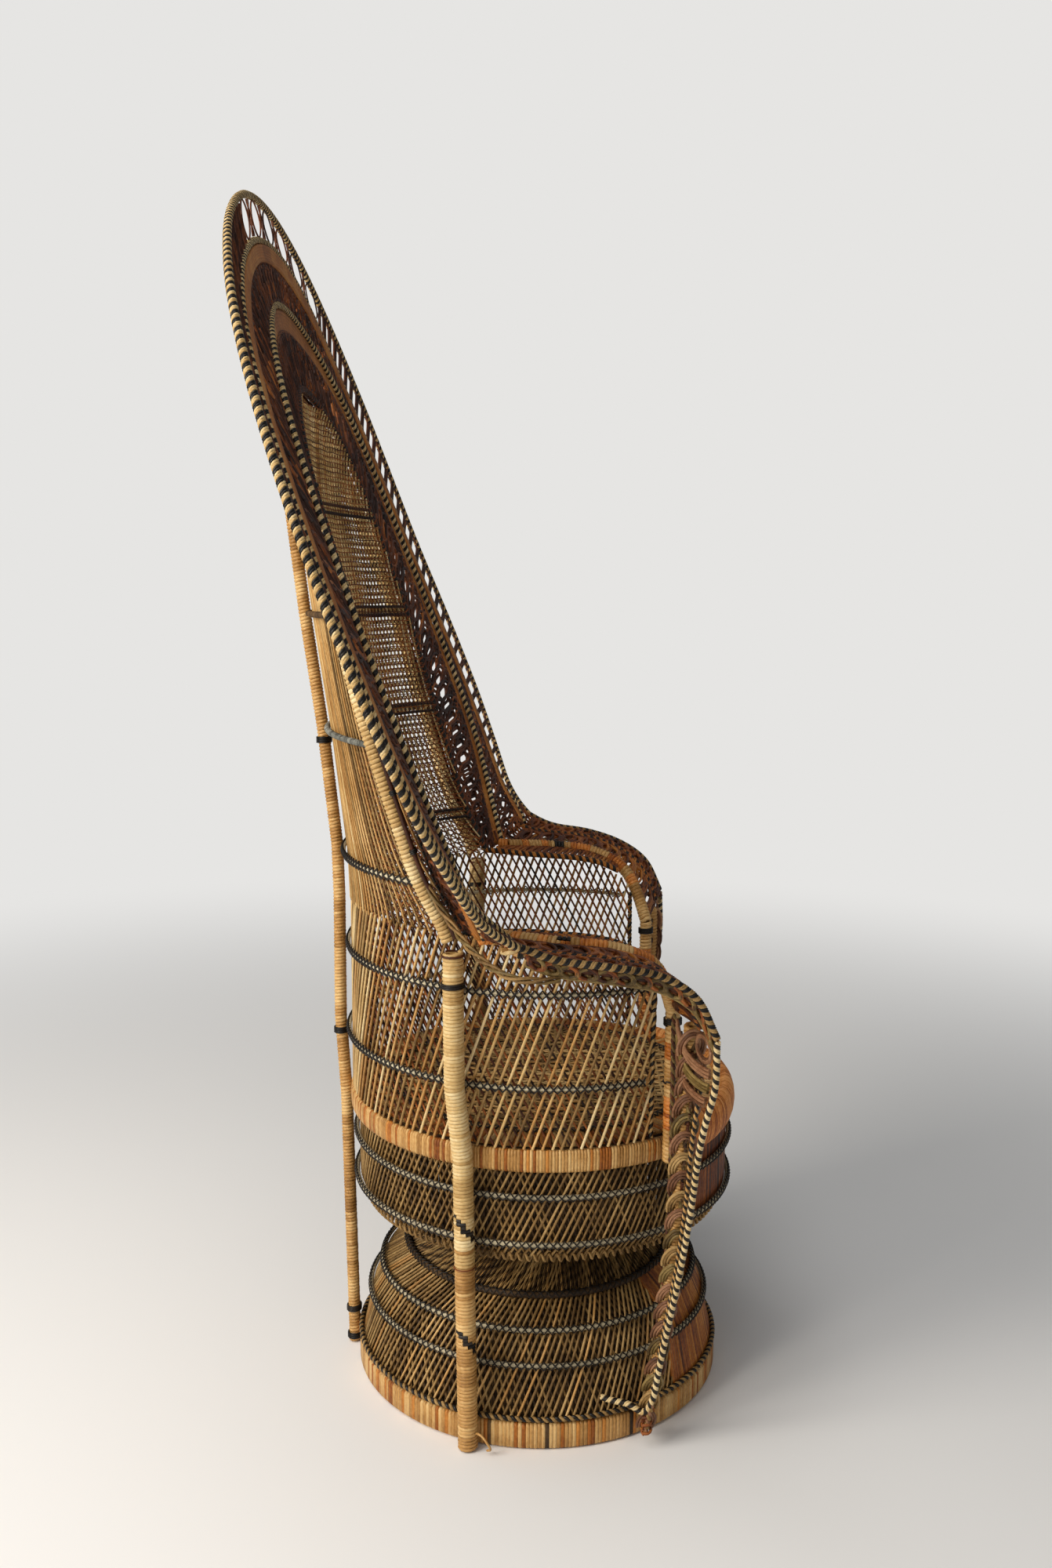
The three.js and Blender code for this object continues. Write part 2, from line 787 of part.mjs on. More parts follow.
function makeBack() {
  const top = panelTop - panelTopDrop;
  const heights = [wallTop + touchGap, ...backHoopHeights, top];
  const across = (i) => (2 * i) / backColumns - 1;
  addPiece(
    "back_panel",
    wovenWall({
      columns: backColumns,
      rows: heights.length - 1,
      closed: false,
      place: (i, j) => onBack(across(i), heights[j]),
      out: (i, j) => onBack(across(i), heights[j], 1).sub(onBack(across(i), heights[j])),
      thickness: laceThickness,
      hole: "diamond",
      holeShare: netShare,
    }),
    colours.lattice,
    0.7,
  );
  backHoopHeights.forEach((z, n) => {
    const stations = [];
    for (let i = 0; i <= backColumns; i += 1) {
      stations.push(onBack(across(i) * hoopLengthShare, z, hoopStandOff + 2 * touchGap - backHoopSeats[n]));
    }
    addPiece(`back_hoop_${n + 1}`, rodAlong(stations, hoopRadius, ringSides), colours.stained, 0.6);
  });
}

function makePoles() {
  const foot = onRound(footRadius + poleRadius + 2 * touchGap - flatInset, poleFootAngle, 2 * touchGap);
  foot.y -= seatShift;
  const standOff = poleRadius + 2 * touchGap - flatInset;
  const atBand = onRound(bandRadius + standOff, poleBandAngle, (bandLow + bandHigh) / 2);
  const reach = laceThickness / 2 + 2 * hoopRadius + poleRadius + 5 * touchGap;
  const atLow = onWall(poleTopAngle, wallLowHeight, reach);
  const atHigh = onWall(poleTopAngle, wallHighHeight, reach);
  const atTop = atHigh.clone().setZ(wallTop - railRadius - 2 * touchGap);
  addPair(
    "side_pole",
    () => rodAlong([foot, atBand, atLow, atHigh, atTop], poleRadius, poleSides),
    colours.honey,
    0.5,
  );
  const behind = laceThickness / 2 + 2 * hoopRadius + rearPoleRadius + 6 * touchGap;
  const rear = [
    new THREE.Vector3(0, footRadius + rearPoleRadius + 2 * touchGap - poleFlat, touchGap),
    new THREE.Vector3(0, seatShift + bandRadius + rearPoleRadius + 2 * touchGap - poleFlat, bandLow),
    new THREE.Vector3(0, seatShift + wallHalfDepth + behind, wallLowHeight),
    ...backRearHeights.map((z, k) => new THREE.Vector3(0, backRearDepths[k] + behind, z)),
  ];
  const topmost = rear[rear.length - 1];
  const rise = rearPoleTop - topmost.z;
  rear.push(topmost.clone().add(new THREE.Vector3(0, rise * rearTopLean, rise)));
  addPiece("rear_pole", rodAlong(rear, rearPoleRadius, poleSides), colours.honey, 0.5);
  const railReach = laceThickness / 2 + 2 * hoopRadius + railRadius + 8 * touchGap;
  const rodOff = railRadius + backRodRadius + 2 * touchGap;
  addPair("back_rail", () => rodAlong(backRun(railReach), railRadius, poleSides), colours.pale, 0.5);
  addPair("back_rod", () => rodAlong(rodRun(railReach, rodOff), backRodRadius, ropeSides), colours.stained, 0.5);
}

// Stations up one side of the back, behind the edge of its panel, and on to the rear pole.
function backRun(reach) {
  const stations = [];
  for (let k = 0; k <= backRunSteps; k += 1) {
    const share = 1 - (0.5 * k) / backRunSteps;
    const edge = panelCurve.getPointAt(share);
    const lean = edge.x / backRound;
    stations.push(edge.add(new THREE.Vector3(lean * reach, Math.sqrt(1 - lean * lean) * reach, 0)));
  }
  stations[0].z = wallTop + 2 * touchGap;
  stations[backRunSteps].x = rearPoleRadius + 2 * touchGap;
  return stations;
}

// Stations of the thin rod that lies along each rail, on its outer side and close behind the fan.
function rodRun(railReach, rodOff) {
  return backRun(railReach).map((place, k) => {
    const station = fanStations * (1 - (0.5 * k) / backRunSteps);
    const panel = onFan(station, 1);
    const rung = onFan(station, 0).sub(panel).normalize();
    const along = panelCurve.getTangentAt(station / fanStations);
    const front = along.clone().cross(rung).normalize();
    const turn = THREE.MathUtils.degToRad(backRodTurn);
    return place.addScaledVector(rung, rodOff * Math.cos(turn)).addScaledVector(front, rodOff * Math.sin(turn));
  });
}

// Arms: rail, ropes and lace, and the skirts down to the foot
function armPoint(x, y, z) {
  return new THREE.Vector3(x, y, z);
}

function makeArms() {
  const rimFoot = onFan(fanStations, 0);
  const panelEnd = onFan(fanStations, 1);
  const forward = new THREE.Vector3(rimFoot.y - panelEnd.y, panelEnd.x - rimFoot.x, 0).normalize();
  const fromFan = (level, start) => onFan(fanStations, level).addScaledVector(forward, start);
  const post = onRound(bandRadius + railRadius + 2 * touchGap, -postAngle, 0);
  const skirtTop = armPoint(armHalfWidth - armCornerIn, -armFront, armCornerHeight);

  const rimPath = smoothStations(
    [
      fromFan(0, armStart),
      armPoint(armHalfWidth, armRimBack, armRimHeight),
      armPoint(armHalfWidth - armRimIn[0], armRimDepths[0], armRimHeight - armRimDrops[0]),
      armPoint(armHalfWidth - armRimIn[1], armRimDepths[1], armRimHeight - armRimDrops[1]),
      armPoint(armHalfWidth - armRimIn[2], armRimDepths[2], armRimHeight - armRimDrops[2]),
      skirtTop,
    ],
    armStations,
  );
  const railPath = smoothStations(
    [
      fromFan(armRailShare, armStart + railRadius / 2),
      armPoint(armHalfWidth - armRailIn[0], armRailDepths[0], armRailHeights[0]),
      armPoint(armHalfWidth - armRailIn[1], armRailDepths[1], armRailHeights[1]),
      armPoint(armHalfWidth - armRailIn[2], armRailDepths[2], armRailHeights[2]),
      armPoint(armHalfWidth - armRailIn[3], armRailDepths[3], armRailHeights[3]),
      post.clone().setZ(postTop),
    ],
    armStations,
  );
  const middle = (share) => railPath.map((place, k) => place.clone().lerp(rimPath[k], share));
  const middlePath = middle(armMiddleShare);
  const postPath = [post.clone().setZ((postTop + bandHigh) / 2), post.clone().setZ(bandLow)];
  const lace = { hole: "diamond", holeShare: laceShare };
  const windows = { hole: "window", holeShare: windowShare };
  addPair("arm_rail", () => rodAlong([...railPath, ...postPath], railRadius, poleSides), colours.honey, 0.5);
  addPair("arm_rim_rope", () => rodAlong(rimPath, ropeRadius, ropeSides), colours.stained, 0.6);
  addPair("arm_middle_rope", () => rodAlong(middlePath, ropeRadius, ropeSides), colours.stained, 0.6);
  addPair(
    "arm_lace",
    () => stripBetween(railPath, railOff, middlePath, armRopeOff, laceThickness, lace),
    colours.lace,
    0.7,
  );
  addPair(
    "arm_edge_lace",
    () => stripBetween(middlePath, ropeOff, rimPath, armRopeOff, laceThickness, windows),
    colours.lace,
    0.7,
  );

  const innerSteps = Math.round(armStations * armInnerLengthShare);
  const innerRail = railPath.slice(0, innerSteps + 1);
  const innerPath = innerRail.map((place) =>
    armPoint(armHalfWidth - armInnerIn, place.y, place.z - armInnerDrop),
  );
  innerPath[0] = fromFan(1, armStart);
  addPair("arm_inner_rope", () => rodAlong(innerPath, smallRopeRadius, ropeSides), colours.stained, 0.6);
  addPair(
    "arm_inner_lace",
    () => stripBetween(innerPath, smallRopeOff, innerRail, railOff, laceThickness, { solidRows: 1 }),
    colours.lace,
    0.7,
  );

  const rodDrop = laceThickness / 2 + rodRadius + 5 * touchGap;
  const rodPath = middle(armMiddleShare / 2)
    .slice(0, armStations - 2)
    .map((place) => place.setZ(place.z - rodDrop));
  addPair("arm_rod", () => rodAlong(rodPath, rodRadius, ropeSides), colours.stained, 0.5);

  const innerX = post.x + railRadius + ropeRadius + 4 * touchGap;
  const skirtInner = smoothStations(
    [
      armPoint(innerX, post.y, armCornerHeight - skirtTopDrop),
      armPoint(innerX, post.y, bandLow),
      armPoint(innerX - skirtInnerIn[0], post.y + skirtInnerBack[0], bowlFootHeight),
      armPoint(innerX - skirtInnerIn[1], post.y + skirtInnerBack[1], domeMiddleHeight),
      armPoint(innerX - skirtInnerIn[2], post.y + skirtInnerBack[2], skirtFootHeight),
    ],
    skirtStations,
  );
  const skirtRim = smoothStations(
    [
      skirtTop.clone().add(armPoint(-touchGap, -touchGap, -skirtRimDrop)),
      ...skirtRimHeights.map((z, k) => armPoint(skirtRimHalfWidths[k], skirtRimDepths[k], z)),
    ],
    skirtStations,
  );
  addPair("skirt_rope_inner", () => rodAlong(skirtInner, ropeRadius, ropeSides), colours.stained, 0.6);
  addPair("skirt_rope_outer", () => rodAlong(skirtRim, ropeRadius, ropeSides), colours.stained, 0.6);
  addPair(
    "skirt_lace",
    () => stripBetween(skirtInner, ropeOff, skirtRim, ropeOff, laceThickness, lace),
    colours.lace,
    0.7,
  );
}

makeBase();
const rollCutter = toSolid(rollGeometry(rollCutAngle, cutGap));
makeBowl(rollCutter);
makeSeat(rollCutter);
makeBasket();
makeFan();
makeBack();
makePoles();
makeArms();

// Puts the origin under the middle of the chair.
const reachBox = new THREE.Box3().setFromObject(chair);
const middleDepth = (reachBox.min.y + reachBox.max.y) / 2;
for (const mesh of chair.children) mesh.geometry.translate(0, -middleDepth, 0);

export default chair;
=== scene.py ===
import bmesh
import bpy
import math
import random
from mathutils import Matrix, Vector


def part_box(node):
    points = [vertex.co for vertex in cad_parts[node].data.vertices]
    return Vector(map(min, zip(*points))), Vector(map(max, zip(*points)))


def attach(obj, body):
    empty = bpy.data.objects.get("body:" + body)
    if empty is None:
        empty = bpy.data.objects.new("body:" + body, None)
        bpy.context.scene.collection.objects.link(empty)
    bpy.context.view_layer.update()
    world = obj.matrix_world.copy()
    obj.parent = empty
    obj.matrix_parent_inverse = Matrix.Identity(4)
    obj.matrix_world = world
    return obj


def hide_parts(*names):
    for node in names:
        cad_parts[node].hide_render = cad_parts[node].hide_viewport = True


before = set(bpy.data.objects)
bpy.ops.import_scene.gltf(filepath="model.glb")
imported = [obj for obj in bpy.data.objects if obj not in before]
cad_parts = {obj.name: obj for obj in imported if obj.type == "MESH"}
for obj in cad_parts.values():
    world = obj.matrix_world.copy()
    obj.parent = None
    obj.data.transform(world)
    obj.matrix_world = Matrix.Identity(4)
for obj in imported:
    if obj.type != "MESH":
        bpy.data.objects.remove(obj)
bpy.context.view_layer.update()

scene = bpy.context.scene
mm = 0.001
upwards = Vector((0, 0, 1))
# Everything below is worked out in mm round the foot hoop's middle
footLow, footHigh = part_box("foot_hoop")
hoopCentreY = (footLow[1] + footHigh[1]) / 2


def inFrame(point):
    return (point[0] * mm, point[1] * mm + hoopCentreY, point[2] * mm)


def addObject(name, data):
    thing = bpy.data.objects.new(name, data)
    scene.collection.objects.link(thing)
    return thing


# Camera at the photograph's angle
cameraView = {
    "place": (-1738.1, -3.2, 1010.5), "azimuth": -89.235, "elevation": 7.943, "roll": 0.412,
    "lens": 31.336, "film": 36,  # mm
    "farthest": 50,  # m
}


def addCamera():
    azimuth, elevation, roll = (math.radians(cameraView[key]) for key in ("azimuth", "elevation", "roll"))
    flat = math.cos(elevation)
    back = Vector((math.sin(azimuth) * flat, -math.cos(azimuth) * flat, math.sin(elevation)))
    right = upwards.cross(back).normalized()
    above = back.cross(right)
    turnedRight = right * math.cos(roll) + above * math.sin(roll)
    turnedUp = above * math.cos(roll) - right * math.sin(roll)
    camera = addObject("camera", bpy.data.cameras.new("camera"))
    camera.matrix_world = Matrix((turnedRight, turnedUp, back)).transposed().to_4x4()
    camera.location = inFrame(cameraView["place"])
    camera.data.sensor_fit = "AUTO"
    camera.data.sensor_width = cameraView["film"]
    camera.data.lens = cameraView["lens"]
    camera.data.clip_end = cameraView["farthest"]
    scene.camera = camera


addCamera()
print("camera placed")


# Materials
def linear(hexColour):
    channels = [int(hexColour[k:k + 2], 16) / 255 for k in (1, 3, 5)]
    return [c / 12.92 if c <= 0.04045 else ((c + 0.055) / 1.055) ** 2.4 for c in channels] + [1]


def freshTree(owner):
    owner.use_nodes = True
    owner.node_tree.nodes.clear()
    return owner.node_tree


def addNode(tree, kind, inputs=None, **settings):
    node = tree.nodes.new(kind)
    for key, value in settings.items():
        setattr(node, key, value)
    for key, value in (inputs or {}).items():
        socket = node.inputs[key]
        if isinstance(value, bpy.types.NodeSocket):
            tree.links.new(value, socket)
        else:
            socket.default_value = value
    return node


# Each finish: darkest, middle and palest colour, roughness, and how strongly its fibres stand out
finishes = {
    # amber cane: flat peel, stained and oiled, so the seat's front roll glows orange
    "amberCane": ("#8a4512", "#cc7c33", "#eaa963", 0.46, 0.3),
    # honey cane: peeled, aged and bare, with a satin skin that reads warm yellow
    "honeyCane": ("#8f642f", "#bd8f52", "#d9b478", 0.44, 0.25),
    # pale cane: fresh peel on poles and rails, the lightest and cleanest tone
    "paleCane": ("#ab854c", "#cfae74", "#e6cf9e", 0.46, 0.25),
    # warm cane: flat peel stained orange-brown, for single darker turns among the honey ones
    "warmCane": ("#6c360d", "#a3601f", "#cb8a3f", 0.5, 0.3),
    # flat cane: broad strips stained orange-brown and rubbed, on the two bands of the fan
    "flatCane": ("#7a3f12", "#ba7431", "#dba054", 0.52, 0.3),
    # tan reed: thin split core, unpolished, the matt body of the woven walls
    "tanReed": ("#5c4322", "#917040", "#bc9a64", 0.6, 0.35),
    # shade-and-dust reed: dark reed for the layer behind, partly dust and partly painted shade, which makes
    # the weave look deep
    "dustyReed": ("#24180d", "#46321b", "#6a4f2d", 0.65, 0.35),
    # brown reed: dyed red-brown in the bundle, the dark body of the laces
    "brownReed": ("#1a0a04", "#43200d", "#743f1c", 0.5, 0.3),
    # rust reed: the same dye worn thin, which warms edges and highlights
    "rustReed": ("#401d0b", "#7b4019", "#ad672c", 0.5, 0.3),
    # rose reed: dyed and faded to a greyish pink-brown, in the skirts
    "roseReed": ("#42291a", "#7a5136", "#ab805e", 0.5, 0.3),
    # olive reed: weathered greenish brown, under the arms
    "oliveReed": ("#30240f", "#665028", "#98804c", 0.5, 0.3),
    # black reed: dyed black with a slight gloss, for ties and the dark half of each rope
    "blackReed": ("#0b0908", "#19140f", "#2f2720", 0.42, 0.25),
    # grey cane: weathered silver-grey, on the binding hoops
    "greyReed": ("#7d735e", "#b0a385", "#d2c6a6", 0.6, 0.3),
    # smoked reed: dyed a cool grey, for the quiet hoop on the back wall
    "smokedReed": ("#34342e", "#74746b", "#a8a79c", 0.5, 0.3),
}
# Patches of age about 60 mm across, mottling of about 4 mm, and streaks that run along each reed
grain = {
    "patchScale": 17, "mottleScale": 240, "mottleRoughness": 0.6, "streakScale": (5, 9, 1), "detail": 3,
    "strandShare": 0.5, "patchShare": 1.0, "mottleShare": 0.7, "streakShare": 0.8,
    "darkest": 0.1, "palest": 0.9, "depth": 0.0006, "sheen": 0.28,
    "strips": 6, "grooveStrength": 0.6, "grooveDepth": 0.0012,
}
materials = {}


def makeFinish(name, dark, middle, pale, roughness, fibre):
    material = bpy.data.materials.new(name)
    tree = freshTree(material)
    place = addNode(tree, "ShaderNodeTexCoord").outputs["Object"]
    along = addNode(tree, "ShaderNodeUVMap", uv_map="UVMap").outputs["UV"]
    strand = addNode(tree, "ShaderNodeNewGeometry").outputs["Random Per Island"]  # each reed has its own tone
    stretched = addNode(tree, "ShaderNodeMapping", {"Vector": along, "Scale": grain["streakScale"]})
    patches, mottle, streaks = [
        addNode(tree, "ShaderNodeTexNoise", {
            "Vector": vector, "Scale": scale, "Detail": grain["detail"], "Roughness": rough}).outputs["Fac"]
        for vector, scale, rough in (
            (place, grain["patchScale"], 0.5), (place, grain["mottleScale"], grain["mottleRoughness"]),
            (stretched.outputs["Vector"], 1, 0.5))
    ]
    tone = None
    for value, share in (
        (strand, grain["strandShare"]), (patches, grain["patchShare"]), (mottle, grain["mottleShare"]),
        (streaks, grain["streakShare"]),
    ):
        part = addNode(tree, "ShaderNodeMath", {0: value, 1: share}, operation="MULTIPLY")
        tone = part if tone is None else addNode(
            tree, "ShaderNodeMath", {0: tone.outputs[0], 1: part.outputs[0]}, operation="ADD")
    level = addNode(tree, "ShaderNodeMath", {0: tone.outputs[0], 1: 1.0}, operation="SUBTRACT")
    ramp = addNode(tree, "ShaderNodeValToRGB", {"Fac": level.outputs[0]})
    stops = ramp.color_ramp.elements
    stops[0].position = grain["darkest"]
    stops[0].color = linear(dark)
    stops[1].position = grain["palest"]
    stops[1].color = linear(pale)
    stops.new(0.5).color = linear(middle)
    bump = addNode(tree, "ShaderNodeBump", {"Height": streaks, "Strength": fibre, "Distance": grain["depth"]})
    if name == "flatCane":
        # grooves between the strips that lie along a band
        layout = addNode(tree, "ShaderNodeUVMap").outputs["UV"]
        across = addNode(tree, "ShaderNodeSeparateXYZ", {"Vector": layout}).outputs["Y"]
        turns = grain["strips"] * math.pi
        strips = addNode(tree, "ShaderNodeMath", {0: across, 1: turns}, operation="MULTIPLY")
        ridges = addNode(tree, "ShaderNodeMath", {0: strips.outputs[0]}, operation="SINE")
        height = addNode(tree, "ShaderNodeMath", {0: ridges.outputs[0]}, operation="ABSOLUTE")
        bump = addNode(tree, "ShaderNodeBump", {
            "Height": height.outputs[0], "Normal": bump.outputs["Normal"],
            "Strength": grain["grooveStrength"], "Distance": grain["grooveDepth"]})
    shader = addNode(tree, "ShaderNodeBsdfPrincipled", {
        "Base Color": ramp.outputs["Color"],
        "Roughness": roughness,
        "Specular IOR Level": grain["sheen"],
        "Normal": bump.outputs["Normal"],
    })
    addNode(tree, "ShaderNodeOutputMaterial", {"Surface": shader.outputs["BSDF"]})
    return material


for finishName, values in finishes.items():
    materials[finishName] = makeFinish(finishName, *values)
print("finishes made", len(materials))


# Strands: a piece is many reeds, each a run of points in mm with its own thickness, finish, and closed or not
def canePiece(name, strands, nodes=(), sides=1):
    used = []
    curve = bpy.data.curves.new(name, "CURVE")
    curve.dimensions = "3D"
    curve.bevel_depth = mm
    curve.bevel_resolution = sides
    curve.use_fill_caps = True
    for points, radius, finish, closed in strands:
        if len(points) < 2:
            continue
        if finish not in used:
            used.append(finish)
            curve.materials.append(materials[finish])
        spline = curve.splines.new("POLY")
        spline.points.add(len(points) - 1)
        spline.points.foreach_set("co", [value for point in points for value in (*inFrame(point), 1.0)])
        spline.points.foreach_set("radius", [radius] * len(points))
        spline.use_cyclic_u = closed
        spline.material_index = used.index(finish)
    holder = addObject(name, curve)
    shown = holder.evaluated_get(bpy.context.evaluated_depsgraph_get())
    mesh = bpy.data.meshes.new_from_object(shown)
    bpy.data.objects.remove(holder)
    bpy.data.curves.remove(curve)
    mesh.name = name
    dress(addObject(name, mesh), nodes)


def dress(piece, nodes=()):
    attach(piece, "root")
    if nodes:
        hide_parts(*nodes)
    for polygon in piece.data.polygons:
        polygon.use_smooth = True


def pick(rng, mix):
    return rng.choices([finish for finish, share in mix], [share for finish, share in mix])[0]


def between(places, values, at):
    if at <= places[0]:
        return values[0]
    for k in range(1, len(places)):
        if at <= places[k]:
            share = (at - places[k - 1]) / (places[k] - places[k - 1])
            return values[k - 1] + (values[k] - values[k - 1]) * share
    return values[-1]


# A smooth curve through a few points, with its speed evened out
class SmoothRun:
    def __init__(self, points, samples=400):
        self.points = [Vector(p) for p in points]
        self.table = [self.raw(k / samples) for k in range(samples + 1)]
        self.lengths = [0.0]
        for a, b in zip(self.table, self.table[1:]):
            self.lengths.append(self.lengths[-1] + (b - a).length)
        self.length = self.lengths[-1]

    def raw(self, share):
        last = len(self.points) - 1
        at = last * share
        k = min(int(at), last - 1)
        weight = at - k
        p1, p2 = self.points[k], self.points[k + 1]
        p0 = self.points[k - 1] if k > 0 else p1 * 2 - p2
        p3 = self.points[k + 2] if k + 2 <= last else p2 * 2 - p1
        d0, d1, d2 = [max((b - a).length, 1e-4) ** 0.5 for a, b in ((p0, p1), (p1, p2), (p2, p3))]
        m1 = ((p1 - p0) / d0 - (p2 - p0) / (d0 + d1) + (p2 - p1) / d1) * d1
        m2 = ((p2 - p1) / d1 - (p3 - p1) / (d1 + d2) + (p3 - p2) / d2) * d1
        square = weight * weight
        cube = square * weight
        start = p1 * (2 * cube - 3 * square + 1) + m1 * (cube - 2 * square + weight)
        return start + p2 * (3 * square - 2 * cube) + m2 * (cube - square)

    def at(self, share):
        want = min(max(share, 0), 1) * self.length
        low, high = 0, len(self.lengths) - 1
        while high - low > 1:
            middle = (low + high) // 2
            low, high = (middle, high) if self.lengths[middle] <= want else (low, middle)
        span = self.lengths[high] - self.lengths[low]
        return self.table[low].lerp(self.table[high], (want - self.lengths[low]) / span if span else 0)

    def run(self, step):
        count = max(2, round(self.length / step))
        return [self.at(k / count) for k in range(count + 1)]


def frames(points, closed=False):
    # at each point two directions across the run that turn as little as possible
    count = len(points)
    side = None
    result = []
    for k in range(count):
        ahead = points[(k + 1) % count] if closed else points[min(k + 1, count - 1)]
        behind = points[k - 1] if closed or k else points[0]
        tangent = (ahead - behind).normalized()
        if side is None:
            side = tangent.orthogonal().normalized()
        side = (side - tangent * side.dot(tangent)).normalized()
        result.append((side, tangent.cross(side)))
    return result


def evenRun(points, step, closed=False):
    places = [Vector(p) for p in points] + ([Vector(points[0])] if closed else [])
    lengths = [0.0]
    for a, b in zip(places, places[1:]):
        lengths.append(lengths[-1] + (b - a).length)
    count = max(2, round(lengths[-1] / step))
    result = []
    k = 0
    for n in range(count + (0 if closed else 1)):
        want = lengths[-1] * n / count
        while k < len(lengths) - 2 and lengths[k + 1] < want:
            k += 1
        span = lengths[k + 1] - lengths[k]
        result.append(places[k].lerp(places[k + 1], (want - lengths[k]) / span if span else 0))
    return result


def onCircle(step, count=1):
    angle = 2 * math.pi * step / count
    return math.cos(angle), math.sin(angle)


def onRound(radius, degrees, height, centre=0.0):
    turn = math.radians(degrees)
    return Vector((radius * math.cos(turn), centre + radius * math.sin(turn), height))


def hoopRun(radius, height, centre=0.0):
    return [onRound(radius, 360 * k / 144, height, centre) for k in range(144)]


def mirrored(points):
    return [Vector((-p.x, p.y, p.z)) for p in points]


# A laid rope: strands of the given finishes twisted round the run
def ropeStrands(points, radius, pitch, lay, closed=False, perTurn=9):
    path = evenRun(points, pitch / perTurn, closed)
    across = frames(path, closed)
    turns = round(len(path) / perTurn) if closed else len(path) / perTurn
    thick = radius * (0.6 if len(lay) < 3 else 0.4)
    strands = []
    for n, finish in enumerate(lay):
        run = []
        for k, (place, (side, cross)) in enumerate(zip(path, across)):
            c, s = onCircle(turns * k / len(path) + n / len(lay))
            run.append(place + (side * c + cross * s) * (radius - thick))
        strands.append((run, thick, finish, closed))
    return strands


# A rod wound with flat cane; a mark is black steps down one face: height share, facing and front directions
winding = {"markTurns": 7, "markStart": -34, "markStep": 19, "markWidth": 48, "overlap": 0.6}


def woundStrands(points, radius, pitch, mix, rng, marks=(), perTurn=12, shadedBelow=()):
    path = evenRun(points, pitch / perTurn)
    thick = pitch * winding["overlap"]
    strands = []
    run, wound = [], None
    finish = pick(rng, mix)
    nextChange = 0
    for k, (place, (side, cross)) in enumerate(zip(path, frames(path))):
        c, s = onCircle(k, perTurn)
        outward = side * c + cross * s
        spot = place + outward * (radius - thick)
        changes = k >= nextChange
        if changes:
            # below a height the winding is of a darker finish, painted shade where the light falls off
            # towards the foot
            low = shadedBelow and place.z < shadedBelow[0] + rng.uniform(-shadedBelow[1], shadedBelow[1])
            finish = shadedBelow[2] if low else pick(rng, mix)
            nextChange = k + perTurn * rng.randint(1, 4)
        wanted = finish
        for share, facingWay, front in marks:
            row = (share * len(path) - k) / perTurn + winding["markTurns"] / 2
            if 0 <= row < winding["markTurns"]:
                turn = math.degrees(math.atan2(outward.dot(Vector(front)), outward.dot(Vector(facingWay))))
                middle = winding["markStart"] + winding["markStep"] * int(row)
                if abs(turn - middle) < winding["markWidth"] / 2:
                    wanted = "blackReed"
        if run and (changes or wanted != wound):
            strands.append((run + [spot], thick, wound, False))
            run = []
        wound = wanted
        run.append(spot)
    strands.append((run, thick, wound, False))
    return strands


# A dark tie: a few turns of thin reed round a rod
def tieStrands(centre, axis, radius, turnsCount, finish="blackReed", thick=1.1):
    axis = Vector(axis).normalized()
    side = axis.orthogonal().normalized()
    cross = axis.cross(side)
    run = []
    for k in range(turnsCount * 12 + 1):
        c, s = onCircle(k, 12)
        lift = (k / 12 - turnsCount / 2) * thick * 1.9
        run.append(Vector(centre) + axis * lift + (side * c + cross * s) * radius)
    return [(run, thick, finish, False)]


# Crossed black ties over a hoop: two zigzags; place is on the hoop, out faces outwards, over points across it
def crossTies(place, out, over, waves, rise, reach, closed, thick=1.0):
    strands = []
    count = waves * 4
    for phase in (0, 2):
        run = []
        for k in range(count if closed else count + 1):
            lift = (-rise, 0, rise, 0)[(k + phase) % 4]
            stand = reach * (0.35 if lift else 1)
            run.append(place(k / count) + out(k / count) * stand + over(k / count) * lift)
        strands.append((run, thick, "blackReed", closed))
    return strands


def slopeAt(profile, row):
    low, high = profile[max(row - 1, 0)], profile[min(row + 1, len(profile) - 1)]
    return Vector((high[1] - low[1], low[0] - high[0])).normalized()


# Reeds over a spun profile: two open layers that cross, and a close dark layer behind them that is painted
# shade inside the wall
def spunNet(profile, centre, pitch, lean, radius, outerMix, innerMix, rng, lined=True):
    strands = []
    count = round(2 * math.pi * max(r for r, z in profile) / pitch)
    layers = [(1, outerMix, 1, 0.9), (-1, innerMix, 1, -0.9)]
    # the lining: close dark reeds that stand for the shade inside the wall
    if lined:
        layers.append((0, [("dustyReed", 1)], 3, -2.8))
    for layer, mix, times, stand in layers:
        reach = stand * radius
        for n in range(count * times):
            angle = 360 * (n + 0.25 * layer) / (count * times) + rng.uniform(-0.2, 0.2)
            run = []
            previous = profile[0]
            for row, (r, z) in enumerate(profile):
                slope = slopeAt(profile, row)
                step = math.hypot(r - previous[0], z - previous[1])
                angle += layer * math.degrees(math.tan(math.radians(lean(z))) * step / r)
                if layer or row % 2 == 0 or row == len(profile) - 1:
                    run.append(onRound(r + slope.x * reach, angle, z + slope.y * reach, centre))
                previous = (r, z)
            strands.append((run, radius, pick(rng, mix), False))
    return strands


# Flat upright canes that close the front of a spun wall
facing = {"pitch": 4.7, "radius": 3.1, "stand": 0.6}


def facingStrands(profile, centre, half, mix, rng):
    count = round(math.radians(2 * half) * max(r for r, z in profile) / facing["pitch"])
    strands = []
    for n in range(count + 1):
        angle = -90 - half + 2 * half * n / count
        run = [onRound(r + facing["stand"], angle, z, centre) for r, z in profile]
        strands.append((run, facing["radius"], pick(rng, mix), False))
    return strands


def denser(profile, step):
    result = [profile[0]]
    for (r0, z0), (r1, z1) in zip(profile, profile[1:]):
        count = max(1, round(math.hypot(r1 - r0, z1 - z0) / step))
        result += [(r0 + (r1 - r0) * k / count, z0 + (z1 - z0) * k / count) for k in range(1, count + 1)]
    return result


# A hoop of grey cane held by crossed black ties
binding = {"thick": 3.1, "wave": 18, "rise": 4.8, "gap": 0.5, "tie": 0.9}


